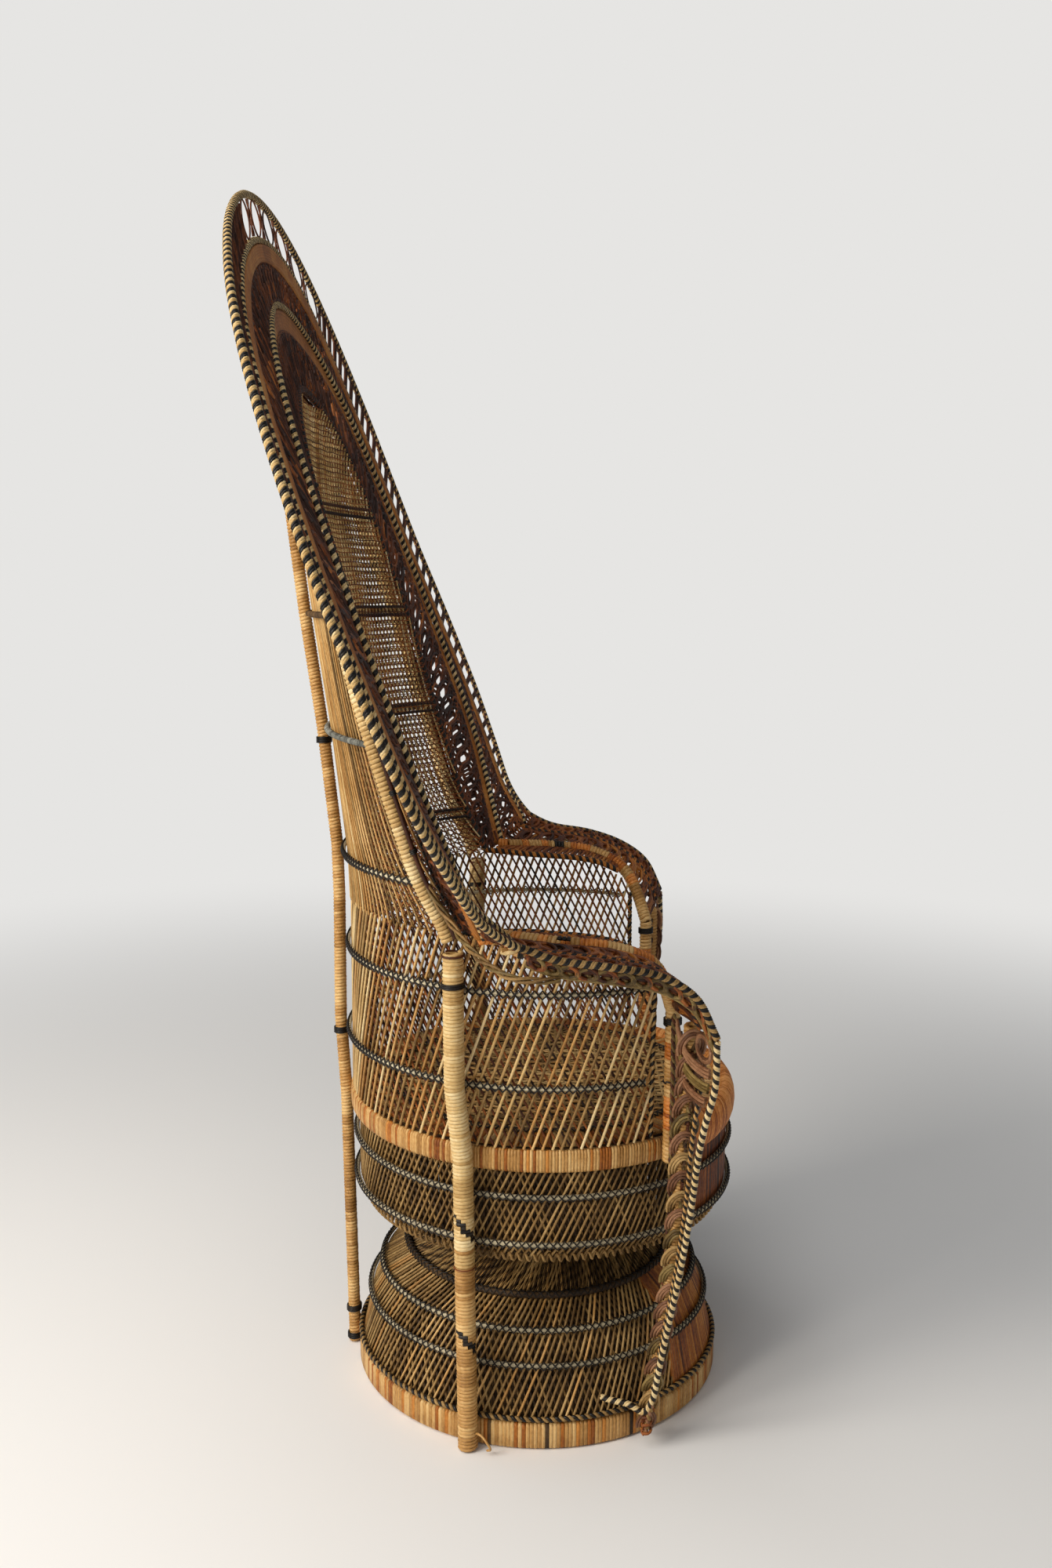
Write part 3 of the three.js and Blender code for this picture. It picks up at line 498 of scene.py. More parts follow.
def boundHoop(name, radius, height, centre, slope, nodes, thick=binding["thick"], finish="greyReed"):
    outward = Vector(slope).normalized()

    def leaning(flat, rise):
        def way(share):
            c, s = onCircle(share)
            return Vector((c * flat, s * flat, rise))
        return way

    strands = [(hoopRun(radius, height, centre), thick, finish, True)]
    strands += crossTies(
        lambda share: onRound(radius, 360 * share, height, centre),
        leaning(outward.x, outward.y), leaning(-outward.y, outward.x),
        round(2 * math.pi * radius / binding["wave"]), binding["rise"], thick + binding["gap"], True,
        binding["tie"])
    canePiece(name, strands, nodes)


# Base: foot hoop, braid, dome, hoops and waist
# the inner layers and the collar take a darker mix, painted shade inside the walls
shadedReedMix = [("tanReed", 1), ("dustyReed", 1)]
wrapOverlap = 0.72  # radius of a wrapping cane, as a share of its pitch
base = {
    "footOuter": 239, "footInner": 227, "footHeight": 34, "corner": 1.5, "wrapPitch": 4.7,
    "footMix": [("honeyCane", 40), ("warmCane", 9), ("dustyReed", 1)],
    "braid": (236.3, 38.4, 3.6, 10.5),  # radius, height, thickness and pitch
    "profile": [(230, 34.4), (217, 97), (202, 131), (170, 157), (96, 200)],
    "reedPitch": 8.4, "reedRadius": 1.6, "lean": 22, "topLean": 6, "leanChange": 158,
    "domeMix": [("tanReed", 5), ("honeyCane", 1)],
    # the facing's dark rust share is partly the reeds' own colour and partly painted shade on the front
    "facingHalf": 42, "facingLift": 3, "facingMix": [("warmCane", 3), ("rustReed", 2)],
    "collarReeds": 210, "collarRadius": 1.1, "collarLean": 3, "collarLift": 3,
    "hoops": ((1, "low", "greyReed", 2.9), (2, "middle", "greyReed", 2.9), (3, "top", "dustyReed", 4.2)),
    "hoopStand": 6.2,
    "waist": (96, 205.8, 4, 14),
    "throat": [(96, 211), (198, 371)], "throatShift": -2.5,
    "throatPitch": 7.4, "throatLean": 4, "throatReed": 2.4,
}


def wrapLoops(count, section, at, thick, mix, rng):
    # one loop of flat cane round the section at each step along a band
    return [([at(n / count, a, b) for a, b in section], thick, pick(rng, mix), True) for n in range(count)]


def laidHoop(name, hoop, lay, nodes):
    radius, height, thick, pitch = hoop
    canePiece(name, ropeStrands(hoopRun(radius, height), thick, pitch, lay, True), nodes)


def buildBase():
    rng = random.Random(11)
    thick, cut = base["wrapPitch"] * wrapOverlap, base["corner"]
    inner, outer, high = base["footInner"] + thick, base["footOuter"] - thick, base["footHeight"] - thick
    section = [
        (inner, thick + cut), (inner + cut, thick), (outer - cut, thick), (outer, thick + cut),
        (outer, high - cut), (outer - cut, high), (inner + cut, high), (inner, high - cut),
    ]
    strands = wrapLoops(
        round(2 * math.pi * base["footOuter"] / base["wrapPitch"]), section,
        lambda s, r, z: onRound(r, 360 * s, z), thick, base["footMix"], rng)
    canePiece("foot_hoop_wrapped", strands, ["foot_hoop"])
    laidHoop("foot_braid_laid", base["braid"], ("blackReed", "tanReed"), ["foot_braid"])

    strands = spunNet(
        denser(base["profile"], 16), 0, base["reedPitch"],
        lambda z: base["lean"] if z < base["leanChange"] else base["topLean"],
        base["reedRadius"], base["domeMix"], shadedReedMix, rng)
    (lowR, lowZ), (highR, highZ) = base["profile"][3:]
    for n in range(base["collarReeds"]):
        angle = 360 * n / base["collarReeds"]
        run = [
            onRound(
                lowR + (highR - lowR) * k / 5, angle + base["collarLean"] * k,
                lowZ + (highZ - lowZ) * k / 5 + base["collarLift"])
            for k in range(6)
        ]
        strands.append((run, base["collarRadius"], pick(rng, shadedReedMix), False))
    canePiece("dome_woven", strands, ["dome_wall"])
    front = denser(base["profile"][:4], 20)
    front[0] = (front[0][0], front[0][1] + base["facingLift"])
    strands = facingStrands(front, 0, base["facingHalf"], base["facingMix"], rng)
    canePiece("dome_facing", strands)
    for row, level, finish, hoopThick in base["hoops"]:
        r, z = base["profile"][row]
        slope, stand = slopeAt(base["profile"], row), base["hoopStand"]
        boundHoop(
            f"dome_hoop_{level}_bound", r + slope.x * stand, z + slope.y * stand, 0, slope,
            [f"dome_hoop_{level}"], hoopThick, finish)
    laidHoop("waist_hoop_laid", base["waist"], ("blackReed", "dustyReed"), ["waist_hoop"])
    plain = [("dustyReed", 1)]
    strands = spunNet(
        denser(base["throat"], 24), base["throatShift"], base["throatPitch"], lambda z: base["throatLean"],
        base["throatReed"], plain, plain, rng, False)
    canePiece("throat_woven", strands, ["throat_wall"], sides=0)


buildBase()
print("base made")


# Bowl under the seat, with its looped lower edge
seatShift = -5
bowl = {
    "profile": [(227, 240), (238, 262), (238, 351.5)], "reedPitch": 8.3, "lean": 25, "reedRadius": 1.5,
    "facing": [(227, 242), (238, 262), (238, 306), (238, 350)], "facingHalf": 50,
    # the facing's dark rust and brown reeds are partly their own colour and partly painted shade on the front
    "facingMix": [("rustReed", 3), ("brownReed", 1)],
    "fringe": (231, 240.5, 4.6, 2.5, 156),  # radius, height, rise, swell and loops
    "fringeReeds": ((0, "tanReed", 1.7), (0.5, "tanReed", 1.7), (0.25, "brownReed", 1.2)),
    "hoopRadius": 244.6, "hoops": (("low", 262, (1, 0.1)), ("high", 320, (1, 0))),
}


def buildBowl():
    rng = random.Random(12)
    strands = spunNet(
        denser(bowl["profile"], 16), seatShift, bowl["reedPitch"], lambda z: bowl["lean"], bowl["reedRadius"],
        [("tanReed", 1)], shadedReedMix, rng)
    radius, height, rise, swell, loops = bowl["fringe"]
    for phase, finish, thick in bowl["fringeReeds"]:
        run = []
        for k in range(loops * 6):
            turn = k / 6 + phase
            c, s = onCircle(turn)
            run.append(onRound(radius + swell * s, 360 * turn / loops, height + rise * c, seatShift))
        strands.append((run, thick, finish, True))
    canePiece("bowl_woven", strands, ["bowl_wall"])
    strands = facingStrands(bowl["facing"], seatShift, bowl["facingHalf"], bowl["facingMix"], rng)
    canePiece("bowl_facing", strands)
    for level, height, slope in bowl["hoops"]:
        boundHoop(
            f"bowl_hoop_{level}_bound", bowl["hoopRadius"], height, seatShift, slope, [f"bowl_hoop_{level}"])


buildBowl()
print("bowl made")


# Seat: wrapped band, front roll and woven surface
seat = {
    "bandOuter": 252, "bandInner": 243, "bandLow": 352, "bandHigh": 380, "bandEnd": 38, "bandSkew": 0.4,
    "wrapPitch": 3.7, "bandMix": [("honeyCane", 4), ("warmCane", 1)],
    "rollMiddle": (239, 366), "rollHalfDepth": 13, "rollHalfHeight": 25, "rollStart": 1.3, "rollShort": 1.6,
    "deckTop": 378, "deckRadius": 236, "deckHole": 202, "deckReeds": 190, "deckReed": 3.6,
    "deckMix": [("warmCane", 3), ("honeyCane", 4)],
    "edgeHoop": 198, "edgeLift": 3, "edgeThick": 3.4, "edgeTies": 66,
    "netReach": 194, "netPitch": 9, "netRows": 21, "netReed": 1.7, "netWave": 1.2, "netLift": 1.6,
    "netMixes": ([("tanReed", 3), ("honeyCane", 2)], [("tanReed", 1)]),
}


def buildSeat():
    rng = random.Random(13)
    end = seat["bandEnd"]
    sweep = 180 + 2 * end
    thick = seat["wrapPitch"] * wrapOverlap
    inner, outer = seat["bandInner"] + thick, seat["bandOuter"] - thick
    low, high = seat["bandLow"] + thick, seat["bandHigh"] - thick
    section = [
        (inner, low), (outer - 1, low), (outer, low + 2), (outer + 0.5, (low + high) / 2), (outer, high - 2),
        (outer - 1.5, high), (inner, high),
    ]
    strands = wrapLoops(
        round(math.radians(sweep) * seat["bandOuter"] / seat["wrapPitch"]), section,
        lambda s, r, z: onRound(r, -end + sweep * s + seat["bandSkew"], z, seatShift),
        thick, seat["bandMix"], rng)
    canePiece("seat_band_wrapped", strands, ["seat_band"])

    middle, height = seat["rollMiddle"]
    rollSweep = 180 - 2 * end - seat["rollShort"]
    wide, tall = seat["rollHalfDepth"] - thick, seat["rollHalfHeight"] - thick
    section = [(middle + wide * c, height + tall * s) for c, s in (onCircle(k, 16) for k in range(16))]
    strands = wrapLoops(
        round(math.radians(rollSweep) * middle / seat["wrapPitch"]), section,
        lambda s, r, z: onRound(r, -end - seat["rollStart"] - rollSweep * s, z, seatShift), thick,
        [("amberCane", 1)], rng)
    canePiece("seat_roll_wrapped", strands, ["seat_front_roll"])

    strands = []
    top = seat["deckTop"]
    for k in range(seat["deckReeds"]):
        run = [
            onRound(radius, 360 * k / seat["deckReeds"], top + 0.5, seatShift)
            for radius in (seat["deckHole"], seat["deckRadius"])
        ]
        strands.append((run, seat["deckReed"], pick(rng, seat["deckMix"]), False))
    hoop, lift = seat["edgeHoop"], seat["edgeLift"]
    strands.append((hoopRun(hoop, top + lift, seatShift), seat["edgeThick"], "tanReed", True))

    def place(share):
        return onRound(hoop, 360 * share, top + lift, seatShift)

    strands += crossTies(
        place, lambda share: upwards,
        lambda share: (place(share) - Vector((0, seatShift, top + lift))).normalized(),
        seat["edgeTies"], 5, 4, True)
    for layer, mix in enumerate(seat["netMixes"]):
        for k in range(-seat["netRows"], seat["netRows"] + 1):
            offset = k * seat["netPitch"]
            half = math.sqrt(seat["netReach"] ** 2 - offset ** 2)
            run = []
            for n in range(25):
                along = -half + 2 * half * n / 24
                x, y = (along, offset) if layer else (offset, along)
                wave = seat["netWave"] * math.cos(math.pi * (n + k)) + seat["netLift"]
                run.append(Vector((x, y + seatShift, top + wave)))
            strands.append((run, seat["netReed"], pick(rng, mix), False))
    canePiece("seat_woven", strands)


buildSeat()
print("seat made")


# Basket wall round the seat
basket = {
    "low": 380.4, "heights": [380, 456, 582, 627.8], "halfWidths": [247.5, 252, 267, 270], "halfDepth": 246,
    "top": 627.8, "drop": 48, "end": 32.5, "weaveEnd": 31.3, "pitch": 2.55, "step": 4, "meanRadius": 258,
    "layers": (
        (1, 20, 1.75, [("honeyCane", 3), ("paleCane", 2), ("tanReed", 2)]),  # layer, lean, radius, mix
        (-1, 31, 1.35, [("rustReed", 3), ("brownReed", 2)]),
    ),
    "hoops": (("low", 456), ("high", 570)),
    "hoopShare": 0.96, "hoopStand": 7, "hoopTies": 59, "hoopThick": 2.6,
    "edgeHeights": (382, 430, 480, 530, 576), "edgeRadius": 3.4, "edgePitch": 11,
}


def onWall(degrees, z, off=0.0):
    turn = math.radians(degrees)
    half, deep = between(basket["heights"], basket["halfWidths"], z), basket["halfDepth"]
    out = Vector((math.cos(turn) / half, math.sin(turn) / deep, 0)).normalized()
    return Vector((half * math.cos(turn), seatShift + deep * math.sin(turn), z)) + out * off


def wallTopAt(degrees):
    front = degrees if degrees < 90 else 180 - degrees
    end = basket["end"]
    return basket["top"] - between([-end, -end / 2, 0], [basket["drop"], basket["drop"] / 5, 0], front)


# A hoop of grey cane along an open wall, with crossed black ties all along
def boundWallHoop(name, place, waves, nodes):
    thick = basket["hoopThick"]
    side = 1 if (place(0.502) - place(0.498)).cross(upwards).y > 0 else -1

    def out(share):
        ahead, behind = place(min(share + 0.002, 1)), place(max(share - 0.002, 0))
        return (ahead - behind).cross(upwards).normalized() * side

    strands = [([place(k / 96) for k in range(97)], thick, "greyReed", False)]
    strands += crossTies(place, out, lambda share: upwards, waves, 5, thick + 0.6, False, 1.1)
    canePiece(name, strands, nodes)


def basketStrand(degrees, layer, lean, radius):
    # one reed from the seat band up to the arm, as runs of points inside the wall
    slant, step = math.tan(math.radians(lean)), basket["step"]
    runs = [[]]
    z = basket["low"]
    while z < basket["top"] + 8:
        if -basket["weaveEnd"] <= degrees <= 90.5 and z <= wallTopAt(degrees) + 5:
            runs[-1].append(onWall(degrees, z, layer * radius))
        elif runs[-1]:
            runs.append([])
        degrees -= layer * math.degrees(slant * step / basket["meanRadius"])
        z += step
    return [run[::2] + run[-1:] for run in runs if len(run) > 2]


def buildBasket():
    rng = random.Random(14)
    strands = []
    for layer, lean, radius, mix in basket["layers"]:
        begin = -basket["end"] - 44
        while begin < 90 + 30:
            for mirror in (False, True):
                for run in basketStrand(begin + rng.uniform(-0.3, 0.3), layer, lean, radius):
                    strands.append((mirrored(run) if mirror else run, radius, pick(rng, mix), False))
            begin += basket["pitch"]
    canePiece("basket_woven", strands, ["basket_wall"])
    sweep = (180 + 2 * basket["end"]) * basket["hoopShare"]
    for level, z in basket["hoops"]:
        boundWallHoop(
            f"basket_hoop_{level}_bound",
            lambda share: onWall(90 + (share - 0.5) * sweep, z, basket["hoopStand"]),
            basket["hoopTies"], [f"basket_hoop_{level}"])
    edge = [onWall(0.6 - basket["weaveEnd"], z, 1) for z in basket["edgeHeights"]]
    strands = []
    for run in (edge, mirrored(edge)):
        strands += ropeStrands(run, basket["edgeRadius"], basket["edgePitch"], ("blackReed", "tanReed"))
    canePiece("basket_edges_laid", strands)


buildBasket()
print("basket made")


# Fan: a leaning arch between the rim and the panel's edge
fan = {
    "top": 1463, "halfWidth": 622, "foot": 650, "forward": 36, "lean": 22.1,
    "panelTop": 1256, "panelHalfWidth": 284, "panelFoot": 634, "dish": 59, "topDish": 0.25,
    "bow": 31, "bowFoot": 1050, "bowPower": 1.7,
    "rim": [
        (0.655, 0), (0.725, 0.037), (0.845, 0.106), (0.94, 0.183), (0.985, 0.241),
        (1, 0.308), (0.998, 0.38), (0.98, 0.452), (0.94, 0.547), (0.88, 0.658),
        (0.79, 0.757), (0.66, 0.841), (0.505, 0.91), (0.27, 0.975),
    ],
    "panel": [
        (0.88, 0), (0.925, 0.106), (0.96, 0.203), (0.985, 0.355), (0.98, 0.45), (0.945, 0.572),
        (0.9, 0.686), (0.83, 0.794), (0.69, 0.885), (0.45, 0.955), (0.22, 0.99),
    ],
    "dishes": [0.9, 1, 0.92, 0.76, 0.64, 0.5, 0.42, 0.34, 0.26, 0.22, 0.24],
    # how far each line lies from the rim to the panel: shares at the sides, the top and the feet
    "rimRope": (0, 0, 0), "outerRope": (0.22, 0.22, 0.22), "outerBand": (0.3, 0.336, 0.3),
    "innerRope": (0.546, 0.546, 0.74), "innerBand": (0.63, 0.697, 0.86), "panelRope": (1, 1, 1),
    "topReach": 0.2, "footReach": 0.14,  # shares of the run over which the crest and the feet blend in
    "hollow": 7, "hollowEnd": 0.5,  # how far back the outer rope lies along the sides, and where it fades
    "sweep": 84, "sweepEnd": 0.76,  # reach of the curve from fan to arm at the rim, in mm, and where it ends
    "steps": 420,
}


def fanPlane(z):
    return fan["forward"] + (z - fan["foot"]) * math.tan(math.radians(fan["lean"]))


def crestForward(z):
    rise = max(z - fan["bowFoot"], 0) / (fan["top"] - fan["bowFoot"])
    return fan["bow"] * rise ** fan["bowPower"]


def archRun(shares, halfWidth, low, high, dishes, topDish):
    side = []
    for (w, h), dish in zip(shares, dishes):
        z = low + (high - low) * h
        side.append(Vector((-w * halfWidth, fanPlane(z) + dish * fan["dish"], z)))
    top = Vector((0, fanPlane(high) + topDish * fan["dish"], high))
    return SmoothRun(side + [top] + mirrored(side[::-1]))


rimRun = archRun(fan["rim"], fan["halfWidth"], fan["foot"], fan["top"], [0] * len(fan["rim"]), 0)
panelRun = archRun(
    fan["panel"], fan["panelHalfWidth"], fan["panelFoot"], fan["panelTop"], fan["dishes"], fan["topDish"])


def nearTop(u):
    away = abs(u - 0.5) / fan["topReach"]
    return math.cos(away * math.pi / 2) ** 2 if away < 1 else 0


def nearFoot(u):
    away = min(u, 1 - u) / fan["footReach"]
    return (1 - away) ** 2 if away < 1 else 0


def onSides(u):
    return (1 - nearTop(u)) * (1 - nearFoot(u))


def bareFan(u, level):
    rim, panel = rimRun.at(u), panelRun.at(u)
    dish = panel.y - fanPlane(panel.z)
    spot = rim.lerp(panel, level)
    spot.y = fanPlane(spot.z) + dish * level * level - crestForward(spot.z) * (1 - level)
    if 0 < level < fan["hollowEnd"]:
        spot.y += fan["hollow"] * onSides(u) * math.sin(math.pi * level / fan["hollowEnd"]) ** 2
    return spot


def sweepFoot(spot):
    # rounds the corner where the fan's foot meets the arm
    side = -1 if spot.x < 0 else 1
    low, high, rise = bareFan(1, 0), bareFan(1, 1), bareFan(0.97, 0)
    line = high - low
    here = Vector((spot.x * side, spot.y, spot.z))
    share = (here - low).dot(line) / line.length_squared
    reach = fan["sweep"] * (1 - max(share, 0) / fan["sweepEnd"])
    away = (here - low - line * share).length
    if reach <= 0 or away >= reach:
        return spot
    forward = Vector((low.y - high.y, high.x - low.x, 0)).normalized()
    moved = here + ((rise - low).normalized() + forward) * reach / 4 * (1 - away / reach) ** 2
    return Vector((moved.x * side, moved.y, moved.z))


def onFan(u, level):
    return sweepFoot(bareFan(u, level))


def fanEdge(line):
    side, top, foot = fan[line]
    return lambda u: onFan(u, side + (top - side) * nearTop(u) + (foot - side) * nearFoot(u))


# A strip of the fan or an arm between two edges: place(u, v, off) with v from 0 to 1 across it
def stripBetween(low, high, lowOff, highOff):
    def place(u, v, off=0.0):
        a, b = low(u), high(u)
        rung = (b - a).normalized()
        spot = (a + rung * lowOff).lerp(b - rung * highOff, v)
        if off:
            ahead = low(min(u + 0.004, 1)).lerp(high(min(u + 0.004, 1)), v)
            behind = low(max(u - 0.004, 0)).lerp(high(max(u - 0.004, 0)), v)
            spot = spot + (ahead - behind).cross(rung).normalized() * off
        return spot
    return place


# A lace: closed oval loops of reed side by side
def laceLoops(strip, cells, wide, tall, radius, mix, rng, depth, middle=0.5, shift=0.0):
    strands = []
    for n in range(cells):
        centre = (n + 0.5 + shift) / cells
        if centre + 0.5 / cells > 1.0001:
            continue
        loop = []
        for c, s in (onCircle(k, 16) for k in range(16)):
            u = min(max(centre + c * wide / 2 / cells, 0), 1)
            loop.append(strip(u, middle + s * tall / 2, depth * c))
        strands.append((loop, radius, pick(rng, mix), True))
    return strands


# Slanted S-shaped reeds from edge to edge of a lace
def laceCurls(strip, cells, sweep, radius, mix, rng, depth=1.5, scatter=0.0):
    strands = []
    for n in range(cells):
        centre = (n + 0.5 + rng.uniform(-scatter, scatter)) / cells
        run = []
        for k in range(9):
            share = k / 8
            u = centre + (share - 0.5 + 0.35 * math.sin(2 * math.pi * share) / 2) * sweep / cells
            if 0 <= u <= 1:
                run.append(strip(u, share, depth * math.sin(math.pi * share) * (1 if n % 2 else -1)))
        strands.append((run, radius, pick(rng, mix), False))
    return strands


rope = {
    "radius": 4.4, "innerRadius": 4.1, "panelRadius": 4.9, "pitch": 10.4, "reach": 3.8,
    "edgeRadius": 3.4, "edgePitch": 8.8, "stand": 3.4, "standWay": Vector((0, -0.93, 0.37)),
    "lay": ("blackReed", "blackReed", "paleCane", "paleCane"), "smallLay": ("blackReed", "honeyCane"),
    "panelLay": ("blackReed", "blackReed", "rustReed"), "edgeLay": ("blackReed", "rustReed"),
    "warmLay": ("blackReed", "blackReed", "warmCane", "warmCane"),
    "tanLay": ("blackReed", "blackReed", "tanReed", "tanReed"),
}
band = {"columns": 160, "thickness": 4, "swell": 1.4, "edgeStand": 1.6}


def bandSurface(name, strip, nodes):
    shape = bmesh.new()
    bmesh.ops.create_grid(shape, x_segments=band["columns"], y_segments=4, size=1, calc_uvs=True)
    layer = shape.loops.layers.uv.active or shape.loops.layers.uv.new("cane")
    for face in shape.faces:
        for loop in face.loops:
            loop[layer].uv = ((loop.vert.co.x + 1) / 2 * band["columns"], (loop.vert.co.y + 1) / 2)
    for vert in shape.verts:
        u, v = (vert.co.x + 1) / 2, (vert.co.y + 1) / 2
        vert.co = Vector(inFrame(strip(u, v, band["swell"] * (1 - (2 * v - 1) ** 2))))
    bmesh.ops.recalc_face_normals(shape, faces=shape.faces)
    bmesh.ops.solidify(shape, geom=shape.faces[:], thickness=band["thickness"] * mm)
    mesh = bpy.data.meshes.new(name)
    shape.to_mesh(mesh)
    shape.free()
    mesh.materials.append(materials["flatCane"])
    dress(addObject(name, mesh), nodes)


lace = {
    "sideCells": 36, "topCells": 6, "topReach": 0.1,  # cells up each side, and the wide ones at the crest
    "window": 0.8, "windowPower": 4, "windowReed": 1.5, "postReed": 1.6, "rimLength": 2900,
    "wideFrom": 0.02, "widePower": 1.7, "wideThin": 0.7,  # the wide windows are rounder, of thinner reeds
    "middleCells": 190, "middleReed": 1.9, "innerCells": 170, "innerReed": 2.0, "scatter": 0.35,
    "brown": [("brownReed", 6), ("rustReed", 1)], "rusty": [("brownReed", 3), ("rustReed", 1)],
}


def outerCells():
    # middles and widths of the outer lace's windows, as shares of the rim
    cells = []
    side = (0.5 - lace["topReach"]) / lace["sideCells"]
    for n in range(lace["sideCells"]):
        cells += [((n + 0.5) * side, side), (1 - (n + 0.5) * side, side)]
    top = 2 * lace["topReach"] / lace["topCells"]
    return cells + [(0.5 - lace["topReach"] + (n + 0.5) * top, top) for n in range(lace["topCells"])]


def windowLoops(strip, mix, rng):
    strands = []
    for middle, width in outerCells():
        wide = width > lace["wideFrom"]
        power, thin = (lace["widePower"], lace["wideThin"]) if wide else (lace["windowPower"], 1)
        loop = []
        for c, s in (onCircle(k, 20) for k in range(20)):
            a = math.copysign(abs(c) ** (2 / power), c)
            b = math.copysign(abs(s) ** (2 / power), s)
            loop.append(strip(middle + a * width * lace["window"] / 2, 0.5 + b * 0.5, 0.6 * c))
        strands.append((loop, lace["windowReed"] * thin, pick(rng, mix), True))
        # a twisted post of two reeds between each window and the next
        for phase in (0, math.pi):
            post = []
            for k in range(9):
                turn = math.pi * k / 4 + phase
                sway = 1.6 * thin * math.sin(turn)
                spot = min(middle + width / 2 + sway / lace["rimLength"], 1)
                post.append(strip(spot, 0.02 + 0.96 * k / 8, 1.3 * thin * math.cos(turn)))
            strands.append((post, lace["postReed"] * thin, pick(rng, mix), False))
    return strands


def buildFan():
    rng = random.Random(15)
    steps, reach = fan["steps"], rope["reach"]
    for line, radius, lay, stand in (
        ("rim", rope["radius"], rope["lay"], 0), ("outer", rope["radius"], rope["lay"], 0),
        ("inner", rope["innerRadius"], rope["lay"], rope["stand"]),
        ("panel", rope["panelRadius"], rope["panelLay"], 0),
    ):
        edge = fanEdge(f"{line}Rope")
        run = [edge(k / steps) + rope["standWay"] * stand * onSides(k / steps) for k in range(steps + 1)]
        strands = ropeStrands(run, radius, rope["pitch"], lay, perTurn=8)
        canePiece(f"{line}_rope_laid", strands, [f"{line}_rope"])
    print("fan ropes made")

    outer = stripBetween(fanEdge("rimRope"), fanEdge("outerRope"), reach, reach)
    canePiece("outer_lace_looped", windowLoops(outer, [("brownReed", 1)], rng), ["outer_lace"])

    brown, rusty = lace["brown"], lace["rusty"]
    middle = stripBetween(fanEdge("outerBand"), fanEdge("innerRope"), 2, reach)
    cells, reed = lace["middleCells"], lace["middleReed"]
    strands = laceLoops(middle, cells // 2, 1.1, 0.52, reed, brown, rng, 1.5, 0.27)
    strands += laceLoops(middle, cells // 2, 1.1, 0.56, reed, brown, rng, 1.5, 0.72, 0.5)
    strands += laceCurls(middle, cells, 3.2, 2.1, rusty, rng, 1, lace["scatter"])
    strands += laceCurls(middle, cells, -4.2, 2.1, brown, rng, 1, lace["scatter"])
    canePiece("middle_lace_looped", strands, ["middle_lace"])

    inner = stripBetween(fanEdge("innerBand"), fanEdge("panelRope"), 2, 3)
    cells, reed = lace["innerCells"], lace["innerReed"]
    strands = []
    for level, shift in ((0.18, 0), (0.5, 0.5), (0.82, 0)):
        strands += laceLoops(inner, cells // 2, 1.2, 0.36, reed, brown, rng, 1.8, level, shift)
    strands += laceCurls(inner, cells, 4.4, 2.2, rusty, rng, scatter=lace["scatter"])
    strands += laceCurls(inner, cells, -5.4, 2.2, brown, rng, scatter=lace["scatter"])
    canePiece("inner_lace_looped", strands, ["inner_lace"])
    print("fan laces made")

    for name in ("outer", "inner"):
        strip = stripBetween(fanEdge(f"{name}Rope"), fanEdge(f"{name}Band"), reach, 0)
        bandSurface(f"{name}_band_flat", strip, [f"{name}_band"])
        edge = [strip(k / steps, 1, band["edgeStand"]) for k in range(steps + 1)]
        strands = ropeStrands(edge, rope["edgeRadius"], rope["edgePitch"], rope["edgeLay"], perTurn=7)
        canePiece(f"{name}_band_edge_laid", strands)


buildFan()
print("fan made")


# Back panel and the half-cone wall behind it
back = {
    "heights": [620, 687, 841, 980, 1128, 1256], "depths": [241, 243, 260, 280, 298, 304],
    "low": 628.2, "top": 1253, "hoops": [690, 845, 985, 1120], "flattest": 190, "widest": 300,
    "netPitch": 8, "netLean": 39, "netRadius": 0.95, "netOffs": (-1.6, -0.2),
    "netMixes": ([("rustReed", 3), ("brownReed", 2)], [("rustReed", 2), ("tanReed", 1)]),
    "frontPitch": 8.6, "frontRadius": 1.15, "frontOff": -3.2, "frontMix": [("honeyCane", 1), ("paleCane", 4)],
    "rowPitch": 6.2, "rowRadius": 0.7, "rowOff": -4.5, "rowSway": 0.7,
    "rodPitch": 7.6, "rodRadius": 1.3, "rodOff": 3.4, "rodReach": 268,
    "rodMix": [("honeyCane", 3), ("paleCane", 1), ("tanReed", 3)],
    "hoopOff": 9, "hoopShare": 0.96, "hoopRadius": 3.9, "hoopPitch": 2.9, "tiePitch": 17,
    "stripeLift": 5.5, "stripeShare": 0.985, "stripeOff": -4.6, "stripeRadius": 2.3, "stripePitch": 7,
}


def backSection(z):
    share, step = 0.5, 0.25
    while step > 1e-5:
        share += step if panelRun.at(share).z > z else -step
        step /= 2
    edge = panelRun.at(share)
    slope = panelRun.at(min(share + 0.002, 1)) - panelRun.at(share - 0.002)
    steep = abs(slope.normalized().z)
    halfWidth = max(edge.x - 3 / max(steep, 0.2), 4)
    sag = between(back["heights"], back["depths"], z) - edge.y
    radius = max((halfWidth ** 2 + sag ** 2) / (2 * sag), back["flattest"])
    return halfWidth, edge.y + sag - radius, radius


backSections = {}


def sectionAt(z):
    key = round(z, 1)
    if key not in backSections:
        backSections[key] = backSection(z)
    return backSections[key]


def onBackX(x, z, off=0.0):
    halfWidth, centre, radius = sectionAt(z)
    turn = math.asin(max(-1, min(1, x / radius)))
    return Vector(((radius + off) * math.sin(turn), centre + (radius + off) * math.cos(turn), z))


def halfWidthAt(z):
    return sectionAt(z)[0]


